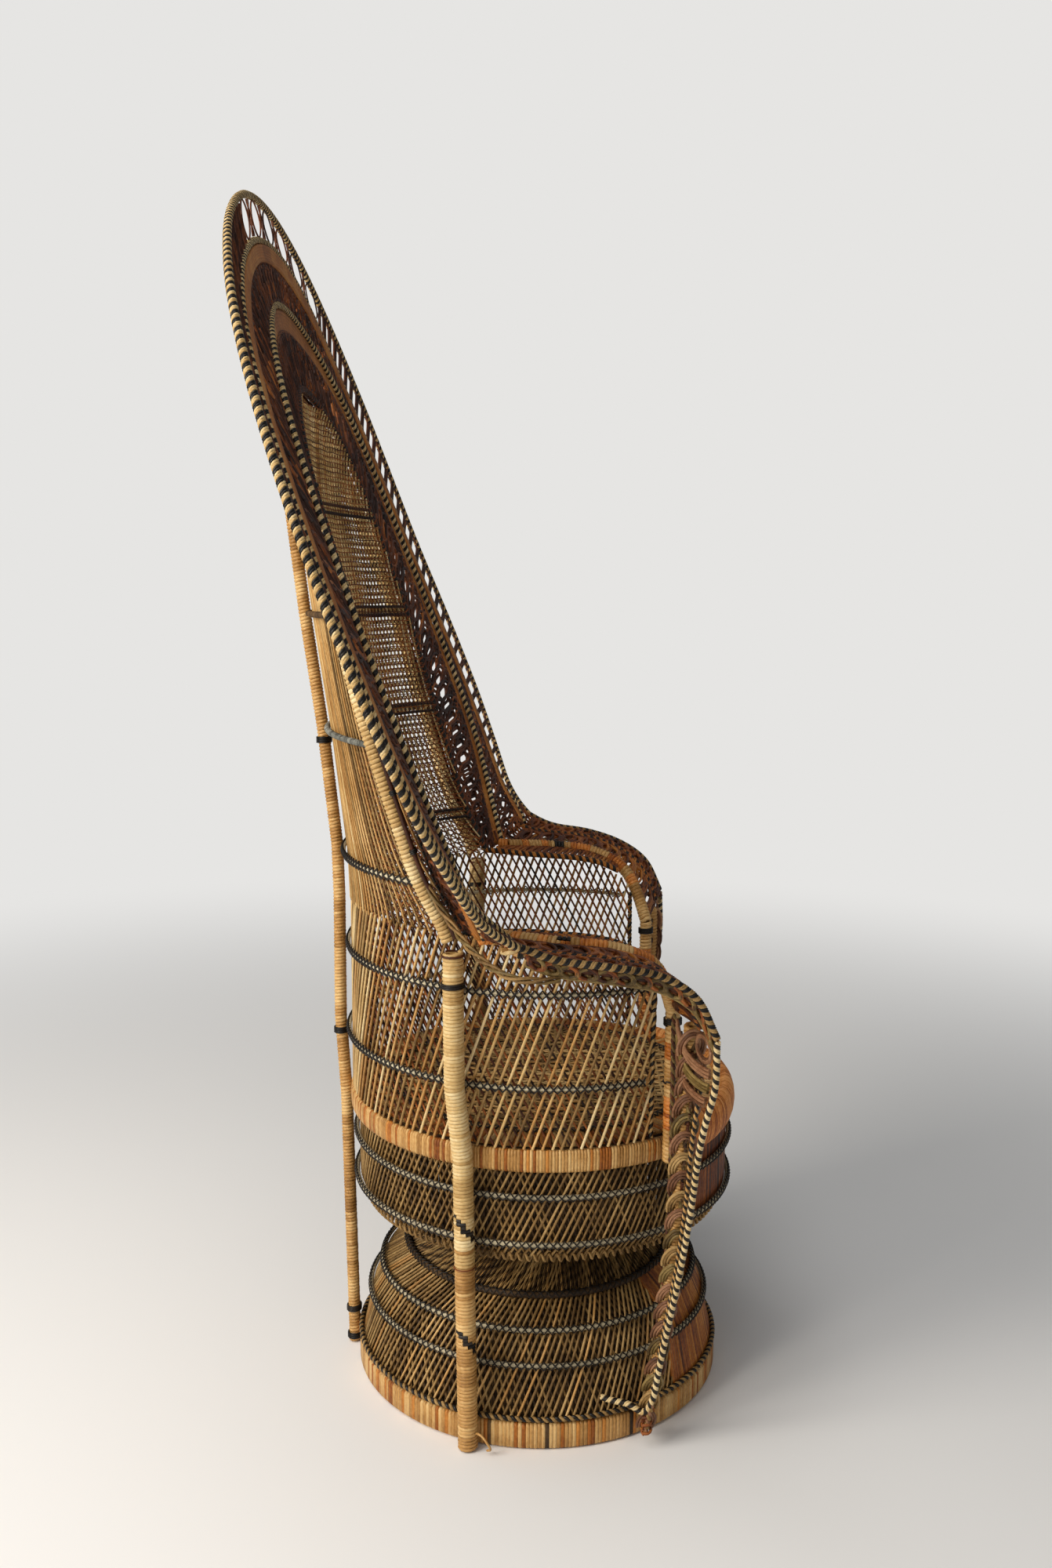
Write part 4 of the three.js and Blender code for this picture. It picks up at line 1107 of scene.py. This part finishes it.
def panelStrands(pitch, lean, off, radius, mix, rng, step=14):
    strands = []
    slant = math.tan(math.radians(lean))
    low, high, widest = back["low"], back["top"], back["widest"]
    start = -widest - max(slant, 0) * (high - low)
    while start < widest - min(slant, 0) * (high - low):
        def spot(z):
            return start + slant * (z - low)

        run = []
        inside = False
        for k in range(int((high - low) / step) + 1):
            z = low + k * step
            now = abs(spot(z)) < halfWidthAt(z)
            if now != inside and k:
                out, into = (z - step, z) if now else (z, z - step)
                for turn in range(5):
                    middle = (out + into) / 2
                    out, into = (out, middle) if abs(spot(middle)) < halfWidthAt(middle) else (middle, into)
                run.append(onBackX(spot(into), into, off))
            if now:
                run.append(onBackX(spot(z), z, off))
            inside = now
        if lean or abs(start) < back["rodReach"]:
            strands.append((run, radius, pick(rng, mix), False))
        start += pitch
    return strands


def buildBack():
    rng = random.Random(16)
    strands = []
    for lean, off, mix in zip((back["netLean"], -back["netLean"]), back["netOffs"], back["netMixes"]):
        strands += panelStrands(back["netPitch"], lean, off, back["netRadius"], mix, rng)
    strands += panelStrands(
        back["frontPitch"], 0, back["frontOff"], back["frontRadius"], back["frontMix"], rng)
    # thin brown rows tie the front uprights
    z = back["low"] + 8
    while z < back["top"] - 6:
        half = halfWidthAt(z) - 2
        run = [
            onBackX((2 * k / 24 - 1) * half, z + back["rowSway"] * math.sin(1.9 * k + z), back["rowOff"])
            for k in range(25)
        ]
        strands.append((run, back["rowRadius"], pick(rng, [("rustReed", 1)]), False))
        z += back["rowPitch"]
    canePiece("back_panel_net", strands, ["back_panel"], sides=0)
    strands = panelStrands(back["rodPitch"], 0, back["rodOff"], back["rodRadius"], back["rodMix"], rng, 22)
    canePiece("back_panel_rods", strands)
    for n, z in enumerate(back["hoops"]):
        half = halfWidthAt(z)

        def place(share):
            return onBackX((2 * share - 1) * half * back["hoopShare"], z, back["hoopOff"])

        if n == 0:
            waves = round(2 * half / back["tiePitch"])
            boundWallHoop("back_hoop_1_bound", place, waves, ["back_hoop_1"])
        else:
            strands = woundStrands(
                [place(k / 40) for k in range(41)], back["hoopRadius"], back["hoopPitch"],
                [("smokedReed" if n == 1 else "dustyReed", 1)], rng, perTurn=8)
            canePiece(f"back_hoop_{n + 1}_wound", strands, [f"back_hoop_{n + 1}"])
        strands = []
        for lift in (-back["stripeLift"], back["stripeLift"]):
            run = [
                onBackX((2 * k / 40 - 1) * half * back["stripeShare"], z + lift, back["stripeOff"])
                for k in range(41)
            ]
            strands += ropeStrands(
                run, back["stripeRadius"], back["stripePitch"], ("blackReed", "brownReed"), perTurn=7)
        canePiece(f"panel_stripe_{n + 1}", strands)


buildBack()
print("back made")


# Poles, rails and thin rods
poles = {
    "foot": (249.2, 18.8), "band": (262.1, 20.4, 366), "top": 21.8, "radius": 12.4, "pitch": 4.4,
    "sideStand": 2.5 + 8 + 11.5 + 1.75,  # half the wall, its hoop, the pole's radius and the gaps
    # below about 250 mm the side poles are wound in darker honey cane, painted shade towards the foot
    "markHeights": [283, 139.5], "tieHeight": 580, "lineHeight": 234, "shadedBelow": (250, 60, "honeyCane"),
    "hook": ((-240, 74, 23), (-248, 65, 25), (-254, 57, 19), (-253, 53, 10), (-247, 57, 5)),
    "rearStand": 2.5 + 8 + 8.5 + 2.1, "rearFoot": ((0, 247.3, 2), (0, 255.3, 352)), "rearEnd": (0, 7.4, 74),
    "rearRadius": 8.5, "rearPitch": 4.4, "rearTies": [824, 440, 49, 10],
    "railReach": 22.3, "railFoot": 629, "railTop": 9.5, "railRadius": 9, "railPitch": 5.2,
    "rodGap": 3.7, "rodRadius": 2.7, "rodTurn": 28,
}


def sidePoleRun():
    reach = poles["sideStand"]
    high = onWall(poles["top"], 582, reach)
    return [
        onRound(*poles["foot"], 3), onRound(*poles["band"], seatShift), onWall(poles["top"], 456, reach),
        high, Vector((high.x, high.y, 616)),
    ]


def rearPoleRun():
    behind = poles["rearStand"]
    run = [Vector(p) for p in poles["rearFoot"]] + [Vector((0, 241 + behind, 456))]
    run += [Vector((0, y + behind, z)) for z, y in zip(back["heights"], back["depths"])]
    return run + [run[-1] + Vector(poles["rearEnd"])]


def backRun(reach):
    run = []
    for k in range(61):
        edge = panelRun.at(1 - 0.5 * k / 60)
        lean = edge.x / 480
        run.append(edge + Vector((lean * reach, math.sqrt(1 - lean * lean) * reach, 0)))
    run[0].z = poles["railFoot"]
    run[-1].x = poles["railTop"]
    return run


def rodRun(rail, away):
    # beside the rail, towards the rim and the front
    turn = math.radians(poles["rodTurn"])
    run = []
    for k, spot in enumerate(rail):
        share = 1 - 0.5 * k / 60
        rung = (rimRun.at(share) - panelRun.at(share)).normalized()
        along = panelRun.at(min(share + 0.004, 1)) - panelRun.at(share - 0.004)
        front = along.cross(rung).normalized()
        run.append(spot + rung * away * math.cos(turn) + front * away * math.sin(turn))
    return run


def shareAt(run, height):
    # how far along an upright run a height is reached
    total = sum((b - a).length for a, b in zip(run, run[1:]))
    done = 0
    for a, b in zip(run, run[1:]):
        if a.z <= height <= b.z:
            return (done + (b - a).length * (height - a.z) / (b.z - a.z)) / total
        done += (b - a).length
    return 1


def spotAt(run, height):
    heights = [p.z for p in run]
    return Vector((
        between(heights, [p.x for p in run], height), between(heights, [p.y for p in run], height), height))


def buildPoles():
    rng = random.Random(17)
    for side, sign in (("left", 1), ("right", -1)):
        run, rail = sidePoleRun(), backRun(poles["railReach"])
        rod = rodRun(rail, poles["railRadius"] + poles["rodGap"])
        if sign < 0:
            run, rail, rod = mirrored(run), mirrored(rail), mirrored(rod)
        marks = [
            (shareAt(run, height), (0.94 * sign, 0.34, 0), (0.34 * sign, -0.94, 0))
            for height in poles["markHeights"]
        ]
        radius = poles["radius"]
        strands = woundStrands(
            run, radius, poles["pitch"], [("paleCane", 1)], rng, marks, shadedBelow=poles["shadedBelow"])
        strands += tieStrands(spotAt(run, poles["tieHeight"]), upwards, radius + 0.9, 3)
        strands += tieStrands(spotAt(run, poles["lineHeight"]), upwards, radius + 0.2, 1, "rustReed", 0.8)
        strands += tieStrands(run[-1] + Vector((0, 0, -2)), upwards, radius + 0.4, 1, "brownReed", 1.4)
        if sign < 0:
            # a loose cane end hooks out at this foot
            strands.append((SmoothRun(poles["hook"]).run(3), 1.5, "honeyCane", False))
        canePiece(f"side_pole_{side}_wound", strands, [f"side_pole_{side}"])
        strands = woundStrands(rail, poles["railRadius"], poles["railPitch"], [("paleCane", 1)], rng)
        canePiece(f"back_rail_{side}_wound", strands, [f"back_rail_{side}"])
        strands = [(rod, poles["rodRadius"], "brownReed", False)]
        for k in range(3, 58, 5):
            strands += tieStrands(rod[k], rod[k + 1] - rod[k - 1], poles["rodRadius"] + 0.9, 3, thick=1)
        canePiece(f"back_rod_{side}_tied", strands, [f"back_rod_{side}"])
    run = rearPoleRun()
    strands = woundStrands(run, poles["rearRadius"], poles["rearPitch"], [("honeyCane", 1)], rng, perTurn=10)
    for height in poles["rearTies"]:
        strands += tieStrands(spotAt(run, height), upwards, poles["rearRadius"] + 0.9, 4)
    canePiece("rear_pole_wound", strands, ["rear_pole"])


buildPoles()
print("poles made")


# Arms
arms = {
    "halfWidth": 404, "rimHeight": 645, "front": -186, "corner": (42, 552),
    "rim": [(0, -10, 0), (3, -72, 7), (24, -128, 23), (34, -163, 48)],
    "rail": [(114, -20, 633), (120, -80, 626), (141, -122, 606), (163, -141, 576)],
    "inner": 233, "innerDrop": 4, "postTop": 538, "postAngle": -34.7, "postReach": 261.7,
    "postHeights": (460, 400, 354), "postTies": ((524, 0.9, 4), (452, 0.4, 1)),
    "start": 12, "railShare": 0.8, "middle": 0.66, "innerRope": 4.3,
    "railRadius": 9.2, "railPitch": 5, "mark": (0.185, (-0.5, 0.2, 1), (0, -1, 0)),
    "railMix": [("honeyCane", 3), ("amberCane", 2)], "reed": 2.1,
    "rust": [("rustReed", 4), ("brownReed", 2), ("warmCane", 1)],
    "leaf": [("oliveReed", 3), ("rustReed", 1), ("brownReed", 1)], "hangDrop": (-9, 0, -19),
    "cornerReeds": 15, "cornerLevels": (0.03, 0.053),
    "bundle": [
        (281, 122, 694), (288, 112, 677), (303, 96, 658), (340, 73, 639), (376, 48, 629),
        (396, 26, 624), (400, 0, 623), (399, -22, 624),
    ],
    "rodDrop": (0, 0, -9.3), "rodRadius": 4.6,
}
# Skirts below the arms' fronts: the ropes' paths, arches of flat reed over a wound core, and curls at the top
skirt = {
    "rim": [
        (350, -187, 493), (336, -180, 450), (321, -175, 407), (301, -172, 348), (285, -168, 294),
        (266, -160, 221), (251, -151, 156), (239, -140, 80), (233, -131, 24),
    ],
    "inner": [(0, 0, 352), (-8, 2, 240), (-14, 12, 131), (-19.5, 25, 14)],
    "loose": [(231, -110, 57), (225, -90, 58), (222, -78, 60)],
    "knot": ((4, 0.5), (9, -0.6), (14, 0.3), (20, -0.4)),
    "core": (9, 5.5), "corePitch": 5, "coreLevel": 0.42, "coreReed": 3.1,
    "links": 21, "reach": (15.5, 10), "lift": 21,
    "archStart": 214, "archEnd": -24, "archSkew": -3, "archReed": 1.9,
    "curls": 3, "curlFall": 0.066, "smallRope": 2.9,
    "rose": [("roseReed", 4), ("oliveReed", 2), ("tanReed", 1)],
    "darkMixes": ([("brownReed", 2), ("oliveReed", 1)], [("brownReed", 1), ("dustyReed", 1)]),
}


def armRuns():
    rimFoot, panelFoot = bareFan(1, 0), bareFan(1, 1)
    forward = Vector((rimFoot.y - panelFoot.y, panelFoot.x - rimFoot.x, 0)).normalized()
    post = onRound(arms["postReach"], arms["postAngle"], 0, seatShift)
    half = arms["halfWidth"]
    corner = Vector((half - arms["corner"][0], arms["front"], arms["corner"][1]))
    rim = [rimFoot + forward * arms["start"]]
    rim += [Vector((half - x, y, arms["rimHeight"] - drop)) for x, y, drop in arms["rim"]] + [corner]
    rail = [bareFan(1, arms["railShare"]) + forward * (arms["start"] + 4.5)]
    rail += [Vector((half - x, y, z)) for x, y, z in arms["rail"]]
    rail.append(Vector((post.x, post.y, arms["postTop"])))
    runs = {"rim": SmoothRun(rim), "rail": SmoothRun(rail), "post": post}
    innerX = post.x + 9 + 5 + 1.4
    runs["skirtInner"] = SmoothRun(
        [Vector((innerX, post.y, arms["corner"][1] - 16))]
        + [Vector((innerX + x, post.y + y, z)) for x, y, z in skirt["inner"]])
    runs["skirtRim"] = SmoothRun([corner + Vector((-0.35, -0.35, -3))] + skirt["rim"])
    railSpots = [runs["rail"].at(k / 8) for k in range(1, 6)]
    runs["inner"] = SmoothRun(
        [panelFoot + forward * arms["start"]]
        + [Vector((arms["inner"], spot.y, spot.z - arms["innerDrop"])) for spot in railSpots])
    return runs


armRun = armRuns()


def ribbonCurls(strip, cells, sweep, mix, rng, low=0, high=1, radius=arms["reed"]):
    # flat ribbons of three reeds side by side, each an S across the strip
    strands = []
    for n in range(cells):
        finish = pick(rng, mix)
        for side in (-1, 0, 1):
            run = []
            for k in range(11):
                share = k / 10
                bent = share - 0.5 + 0.17 * math.sin(2 * math.pi * share)
                u = (n + 0.5 + side * 0.13 + bent * sweep) / cells
                stand = 2.2 * math.sin(math.pi * share) * (-1) ** n
                if 0 <= u <= 1:
                    run.append(strip(u, low + (high - low) * share, stand))
            strands.append((run, radius, finish, False))
    return strands


def skirtArches(path, mix, rng):
    # overlapping arches of three flat reeds over the skirt's core, on its outer side
    strands = []
    start, end = skirt["archStart"], skirt["archEnd"]
    for n in range(skirt["links"]):
        share = (n + 0.5) / skirt["links"]
        spot = path[int(share * (len(path) - 1))]
        down = (path[min(int(share * len(path)) + 6, len(path) - 1)] - spot).normalized()
        across = Vector((1, 0, 0)).cross(down).normalized()
        half = between([0, 1], skirt["reach"], share)
        finish = pick(rng, mix)
        for lane in (0, 1, 2):
            wide = half - 3.2 * lane
            tall = skirt["lift"] * (0.6 + 0.4 * half / skirt["reach"][0]) - 3.6 * lane
            run = []
            for k in range(13):
                turn = math.radians(start + (end - start) * k / 12)
                side, rise = math.cos(turn), math.sin(turn)
                place = spot + across * (side * wide) - down * (rise * tall + side * skirt["archSkew"])
                run.append(place + Vector((4.5 + 6.5 * max(rise, -0.4), 0, 0)))
            strands.append((run, skirt["archReed"], finish, False))
    return strands


def skirtStrands(strip, innerRun, outerRun, rng):
    coreRun = [strip(k / 60, skirt["coreLevel"]) for k in range(61)]
    path = evenRun(coreRun, skirt["corePitch"] / 9)
    top, foot = skirt["core"]
    run = []
    for k, (spot, (side, cross)) in enumerate(zip(path, frames(path))):
        c, s = onCircle(k, 9)
        run.append(spot + (side * c + cross * s) * (top + (foot - top) * k / len(path) - 3))
    strands = [(run, skirt["coreReed"], "honeyCane", False)]
    rose = skirt["rose"]
    strands += skirtArches(evenRun(coreRun, 3.3)[4:], rose, rng)
    # at the top long curls sweep from the rail to the outer rope
    for n in range(skirt["curls"]):
        for pair in (0, 0.008, 0.016):
            run = []
            for k in range(9):
                share = k / 8
                u = 0.002 + 0.034 * n + pair + skirt["curlFall"] * (1 - (1 - share) ** 2)
                run.append(strip(u, 0.14 + 0.82 * share, 4 + 6 * math.sin(math.pi * share)))
            strands.append((run, 2.0, rose[n % 2][0], False))
    # beside the rope a ring of three reeds leaves a window, over dark curls whose darkness is partly their
    # own colour and partly painted shade
    for lift in (-0.004, 0, 0.004):
        ring = [
            strip(0.03 + lift + 0.027 * c, 0.76 + 0.2 * s, 1.5 + 1.5 * s)
            for c, s in (onCircle(k, 15) for k in range(15))
        ]
        strands.append((ring, skirt["archReed"], rose[0][0], True))
    upper = stripBetween(
        lambda u: innerRun.at(0.02 + 0.42 * u), lambda u: outerRun.at(0.02 + 0.42 * u), 3.5, 3.5)
    for sweep, mix in zip((2.2, -2.2), skirt["darkMixes"]):
        strands += ribbonCurls(upper, 15, sweep, mix, rng, 0.16, 0.55, 1.8)
    return strands


def buildArms(side, flip):
    rng = random.Random(18)
    rim, rail, post = armRun["rim"], armRun["rail"], armRun["post"]
    rust, radius, pitch = arms["rust"], rope["radius"], rope["pitch"]

    def rimAt(u):
        return sweepFoot(rim.at(u))

    def middleAt(u):
        return sweepFoot(rail.at(u).lerp(rim.at(u), arms["middle"]))

    def add(name, strands, slotName, *nodes):
        if flip:
            strands = [(mirrored(points), *others) for points, *others in strands]
        canePiece(f"{name}_{side}", strands, [f"{node}_{side}" for node in nodes])

    points = [onFan(1, arms["railShare"])] + rail.run(6)
    points += [Vector((post.x, post.y, z)) for z in arms["postHeights"]]
    strands = woundStrands(
        points, arms["railRadius"], arms["railPitch"], arms["railMix"], rng, [arms["mark"]])
    for height, stand, turns in arms["postTies"]:
        strands += tieStrands(Vector((post.x, post.y, height)), upwards, arms["railRadius"] + stand, turns)
    add("arm_rail_wound", strands, "honey_cane", "arm_rail")
    points = [onFan(1, 0)] + [sweepFoot(p) for p in rim.run(5)]
    add("arm_rim_laid", ropeStrands(points, radius, pitch, rope["tanLay"]), "two_tone_braid", "arm_rim_rope")
    points = [onFan(1, 0.25)] + [middleAt(k / 60) for k in range(61)]
    strands = ropeStrands(points, radius, pitch, rope["warmLay"])
    add("arm_middle_laid", strands, "two_tone_braid", "arm_middle_rope")
    points = [onFan(1, 1)] + armRun["inner"].run(5)
    strands = ropeStrands(points, arms["innerRope"], pitch, rope["warmLay"])
    add("arm_inner_laid", strands, "two_tone_braid", "arm_inner_rope")

    strip = stripBetween(rail.at, middleAt, 9, 3.8)
    strands = laceLoops(strip, 15, 1.5, 0.98, arms["reed"], rust, rng, 2.2)
    strands += ribbonCurls(strip, 17, 3.4, rust, rng)
    strands += ribbonCurls(strip, 17, -3.4, rust, rng)
    add("arm_lace_looped", strands, "brown_lace", "arm_lace")
    strip = stripBetween(middleAt, rimAt, 3.8, 3.8)
    strands = laceLoops(strip, 17, 1.35, 1.0, arms["reed"], rust, rng, 2)
    strands += ribbonCurls(strip, 19, 2.4, rust, rng)
    strands += ribbonCurls(strip, 19, -2.4, [("brownReed", 1), ("rustReed", 2)], rng)
    add("arm_edge_looped", strands, "brown_lace", "arm_edge_lace")

    # leaf-like curls hang below the rim, curls cross the fan's corner, a bundle comes from the back rail
    drop = Vector(arms["hangDrop"])
    strip = stripBetween(rimAt, lambda u: rimAt(u) + drop, 2, 0)
    strands = ribbonCurls(strip, 26, 3.0, arms["leaf"], rng)
    strands += ribbonCurls(strip, 26, -3.0, arms["leaf"], rng, 0.05)
    strands.append(([strip(k / 80, 0.97) for k in range(81)], 2.6, "oliveReed", False))
    # a dark reed behind the curls fills their gaps with painted shade under the rim
    strands.append(([strip(k / 80, 0.5, -3) for k in range(81)], 3.4, "brownReed", False))
    add("arm_hanging_curls", strands, "brown_lace")
    strands = []
    first, step = arms["cornerLevels"]
    for n in range(arms["cornerReeds"]):
        level = first + step * n
        share = max(1 - level / arms["railShare"], 0)
        near, far = (sweepFoot(rail.at(u).lerp(rim.at(u), share)) for u in (0.02, 0.06))
        sway = Vector((5 if n % 2 else -5, 0, 2))
        ends = [onFan(0.988, level), onFan(1, level) + sway, near - sway, far]
        strands.append((SmoothRun(ends).run(5), 1.9, pick(rng, rust), False))
    add("arm_corner_curls", strands, "brown_lace")
    strands = ropeStrands(SmoothRun(arms["bundle"]).run(4), 4.3, 70, ("tanReed", "oliveReed", "tanReed"))
    add("arm_bundle_laid", strands, "pale_cane")
    strip = stripBetween(armRun["inner"].at, lambda u: rail.at(u * 5 / 8), 3.6, 9)
    strands = laceCurls(strip, 34, 1.6, 2.2, [("rustReed", 3), ("warmCane", 2)], rng, 0.8)
    strands += laceCurls(strip, 34, -1.6, 2.0, rust, rng, 0.8)
    add("arm_inner_looped", strands, "brown_lace", "arm_inner_lace")
    drop = Vector(arms["rodDrop"])
    rod = [rail.at(k / 48).lerp(rim.at(k / 48), arms["middle"] / 2) + drop for k in range(34)]
    strands = ropeStrands(rod, arms["rodRadius"], 26, ("paleCane", "honeyCane"))
    for k in range(4, 32, 7):
        strands += tieStrands(rod[k], rod[k + 1] - rod[k], arms["rodRadius"] + 0.6, 3)
    add("arm_rod_tied", strands, "stained_cane", "arm_rod")

    innerRun, outerRun = armRun["skirtInner"], armRun["skirtRim"]
    strands = ropeStrands(innerRun.run(5), 3.4, 13, ("brownReed", "oliveReed"))
    add("skirt_inner_laid", strands, "two_tone_braid", "skirt_rope_inner")
    points = outerRun.run(5)
    leaves = outerRun.at(0.86)
    loose = SmoothRun([leaves, outerRun.at(0.92), outerRun.at(0.955) + Vector((-1, 7, 1))] + skirt["loose"])
    strands = ropeStrands([p for p in points if p.z > leaves.z] + loose.run(4), 4, 10.5, rope["lay"])
    strands += ropeStrands([p for p in points if p.z < 70], 3.9, 12, ("roseReed", "tanReed"))
    # the knot that gathers the skirt's ends at the foot
    for lift, tilt in skirt["knot"]:
        centre = points[-1] + Vector((-1.5, -1, lift - 4))
        strands += tieStrands(centre, (tilt, 0.3, 1), 5.6, 1, "rustReed", 1.9)
    add("skirt_outer_laid", strands, "two_tone_braid", "skirt_rope_outer")

    inwards = stripBetween(innerRun.at, outerRun.at, 3.5, 3.5)

    def strip(u, v, off=0.0):
        return inwards(u, v, -off)  # a positive offset faces outwards here

    add("skirt_lace_looped", skirtStrands(strip, innerRun, outerRun, rng), "brown_lace", "skirt_lace")
    small = [
        strip(0.1 + 0.86 * k / 90, between([0, 0.3, 1], [0.72, 0.82, 0.87], k / 90), 1)
        for k in range(91)
    ]
    strands = ropeStrands(small, skirt["smallRope"], 9.5, rope["smallLay"], perTurn=8)
    add("skirt_small_rope_laid", strands, "two_tone_braid")


for sideName, isFlipped in (("left", False), ("right", True)):
    buildArms(sideName, isFlipped)
print("arms and skirts made")


# The seat's deck is shown as its solid
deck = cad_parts["seat_deck"]
deck.data.materials.clear()
deck.data.materials.append(materials["dustyReed"])


# Floor, backdrop and light
studio = {
    "floor": "#f1efec", "floorRoughness": 0.85, "seen": "#e6e5e3", "size": 30,
    "nearEdge": 0.9, "farEdge": 3.2,
    "worldColour": "#e8ecf0", "worldStrength": 0.22,
    "lamps": (
        ("window", (-1.7, 2.3, 1.85), (0, 0.1, 0.8), 1.5, 84, "#fff9f0"),
        ("sky", (-1.0, 1.1, 3.6), (0, 0, 0.4), 2.8, 58, "#ffffff"),
        ("fill", (-3.0, -1.2, 1.1), (0, 0, 0.5), 2.4, 9, "#fff4e6"),
    ),
}


def buildStudio():
    shape = bmesh.new()
    bmesh.ops.create_grid(shape, x_segments=1, y_segments=1, size=studio["size"])
    mesh = bpy.data.meshes.new("floor")
    shape.to_mesh(mesh)
    shape.free()
    floor = addObject("floor", mesh)
    # matt pale paint near the chair, which takes its shadow, and the plain backdrop colour further out
    paint = bpy.data.materials.new("floorPaint")
    tree = freshTree(paint)
    place = addNode(tree, "ShaderNodeTexCoord").outputs["Object"]
    away = addNode(tree, "ShaderNodeVectorMath", {0: place}, operation="LENGTH").outputs["Value"]
    share = addNode(tree, "ShaderNodeMapRange", {
        "Value": away, "From Min": studio["nearEdge"], "From Max": studio["farEdge"],
    }, interpolation_type="SMOOTHSTEP")
    rays = addNode(tree, "ShaderNodeLightPath").outputs["Is Camera Ray"]
    plain = addNode(tree, "ShaderNodeMath", {0: share.outputs["Result"], 1: rays}, operation="MULTIPLY")
    matt = addNode(tree, "ShaderNodeBsdfPrincipled", {
        "Base Color": linear(studio["floor"]), "Roughness": studio["floorRoughness"]})
    backdrop = addNode(tree, "ShaderNodeEmission", {"Color": linear(studio["seen"]), "Strength": 1.0})
    mixed = addNode(tree, "ShaderNodeMixShader", {
        "Fac": plain.outputs[0], 1: matt.outputs[0], 2: backdrop.outputs[0]})
    addNode(tree, "ShaderNodeOutputMaterial", {"Surface": mixed.outputs[0]})
    mesh.materials.append(paint)

    world = bpy.data.worlds.new("studio")
    scene.world = world
    tree = freshTree(world)
    rays = addNode(tree, "ShaderNodeLightPath")
    seen = addNode(tree, "ShaderNodeBackground", {"Color": linear(studio["seen"]), "Strength": 1.0})
    lit = addNode(tree, "ShaderNodeBackground", {
        "Color": linear(studio["worldColour"]), "Strength": studio["worldStrength"]})
    mixed = addNode(tree, "ShaderNodeMixShader", {
        "Fac": rays.outputs["Is Camera Ray"], 1: lit.outputs[0], 2: seen.outputs[0]})
    addNode(tree, "ShaderNodeOutputWorld", {"Surface": mixed.outputs[0]})

    for name, place, target, size, power, colour in studio["lamps"]:
        light = bpy.data.lights.new(name, "AREA")
        light.size = size
        light.energy = power
        light.color = linear(colour)[:3]
        lamp = addObject(name, light)
        lamp.location = place
        lamp.rotation_euler = (Vector(target) - Vector(place)).to_track_quat("-Z", "Y").to_euler()


buildStudio()
scene.view_settings.view_transform = "Standard"
print("studio made")
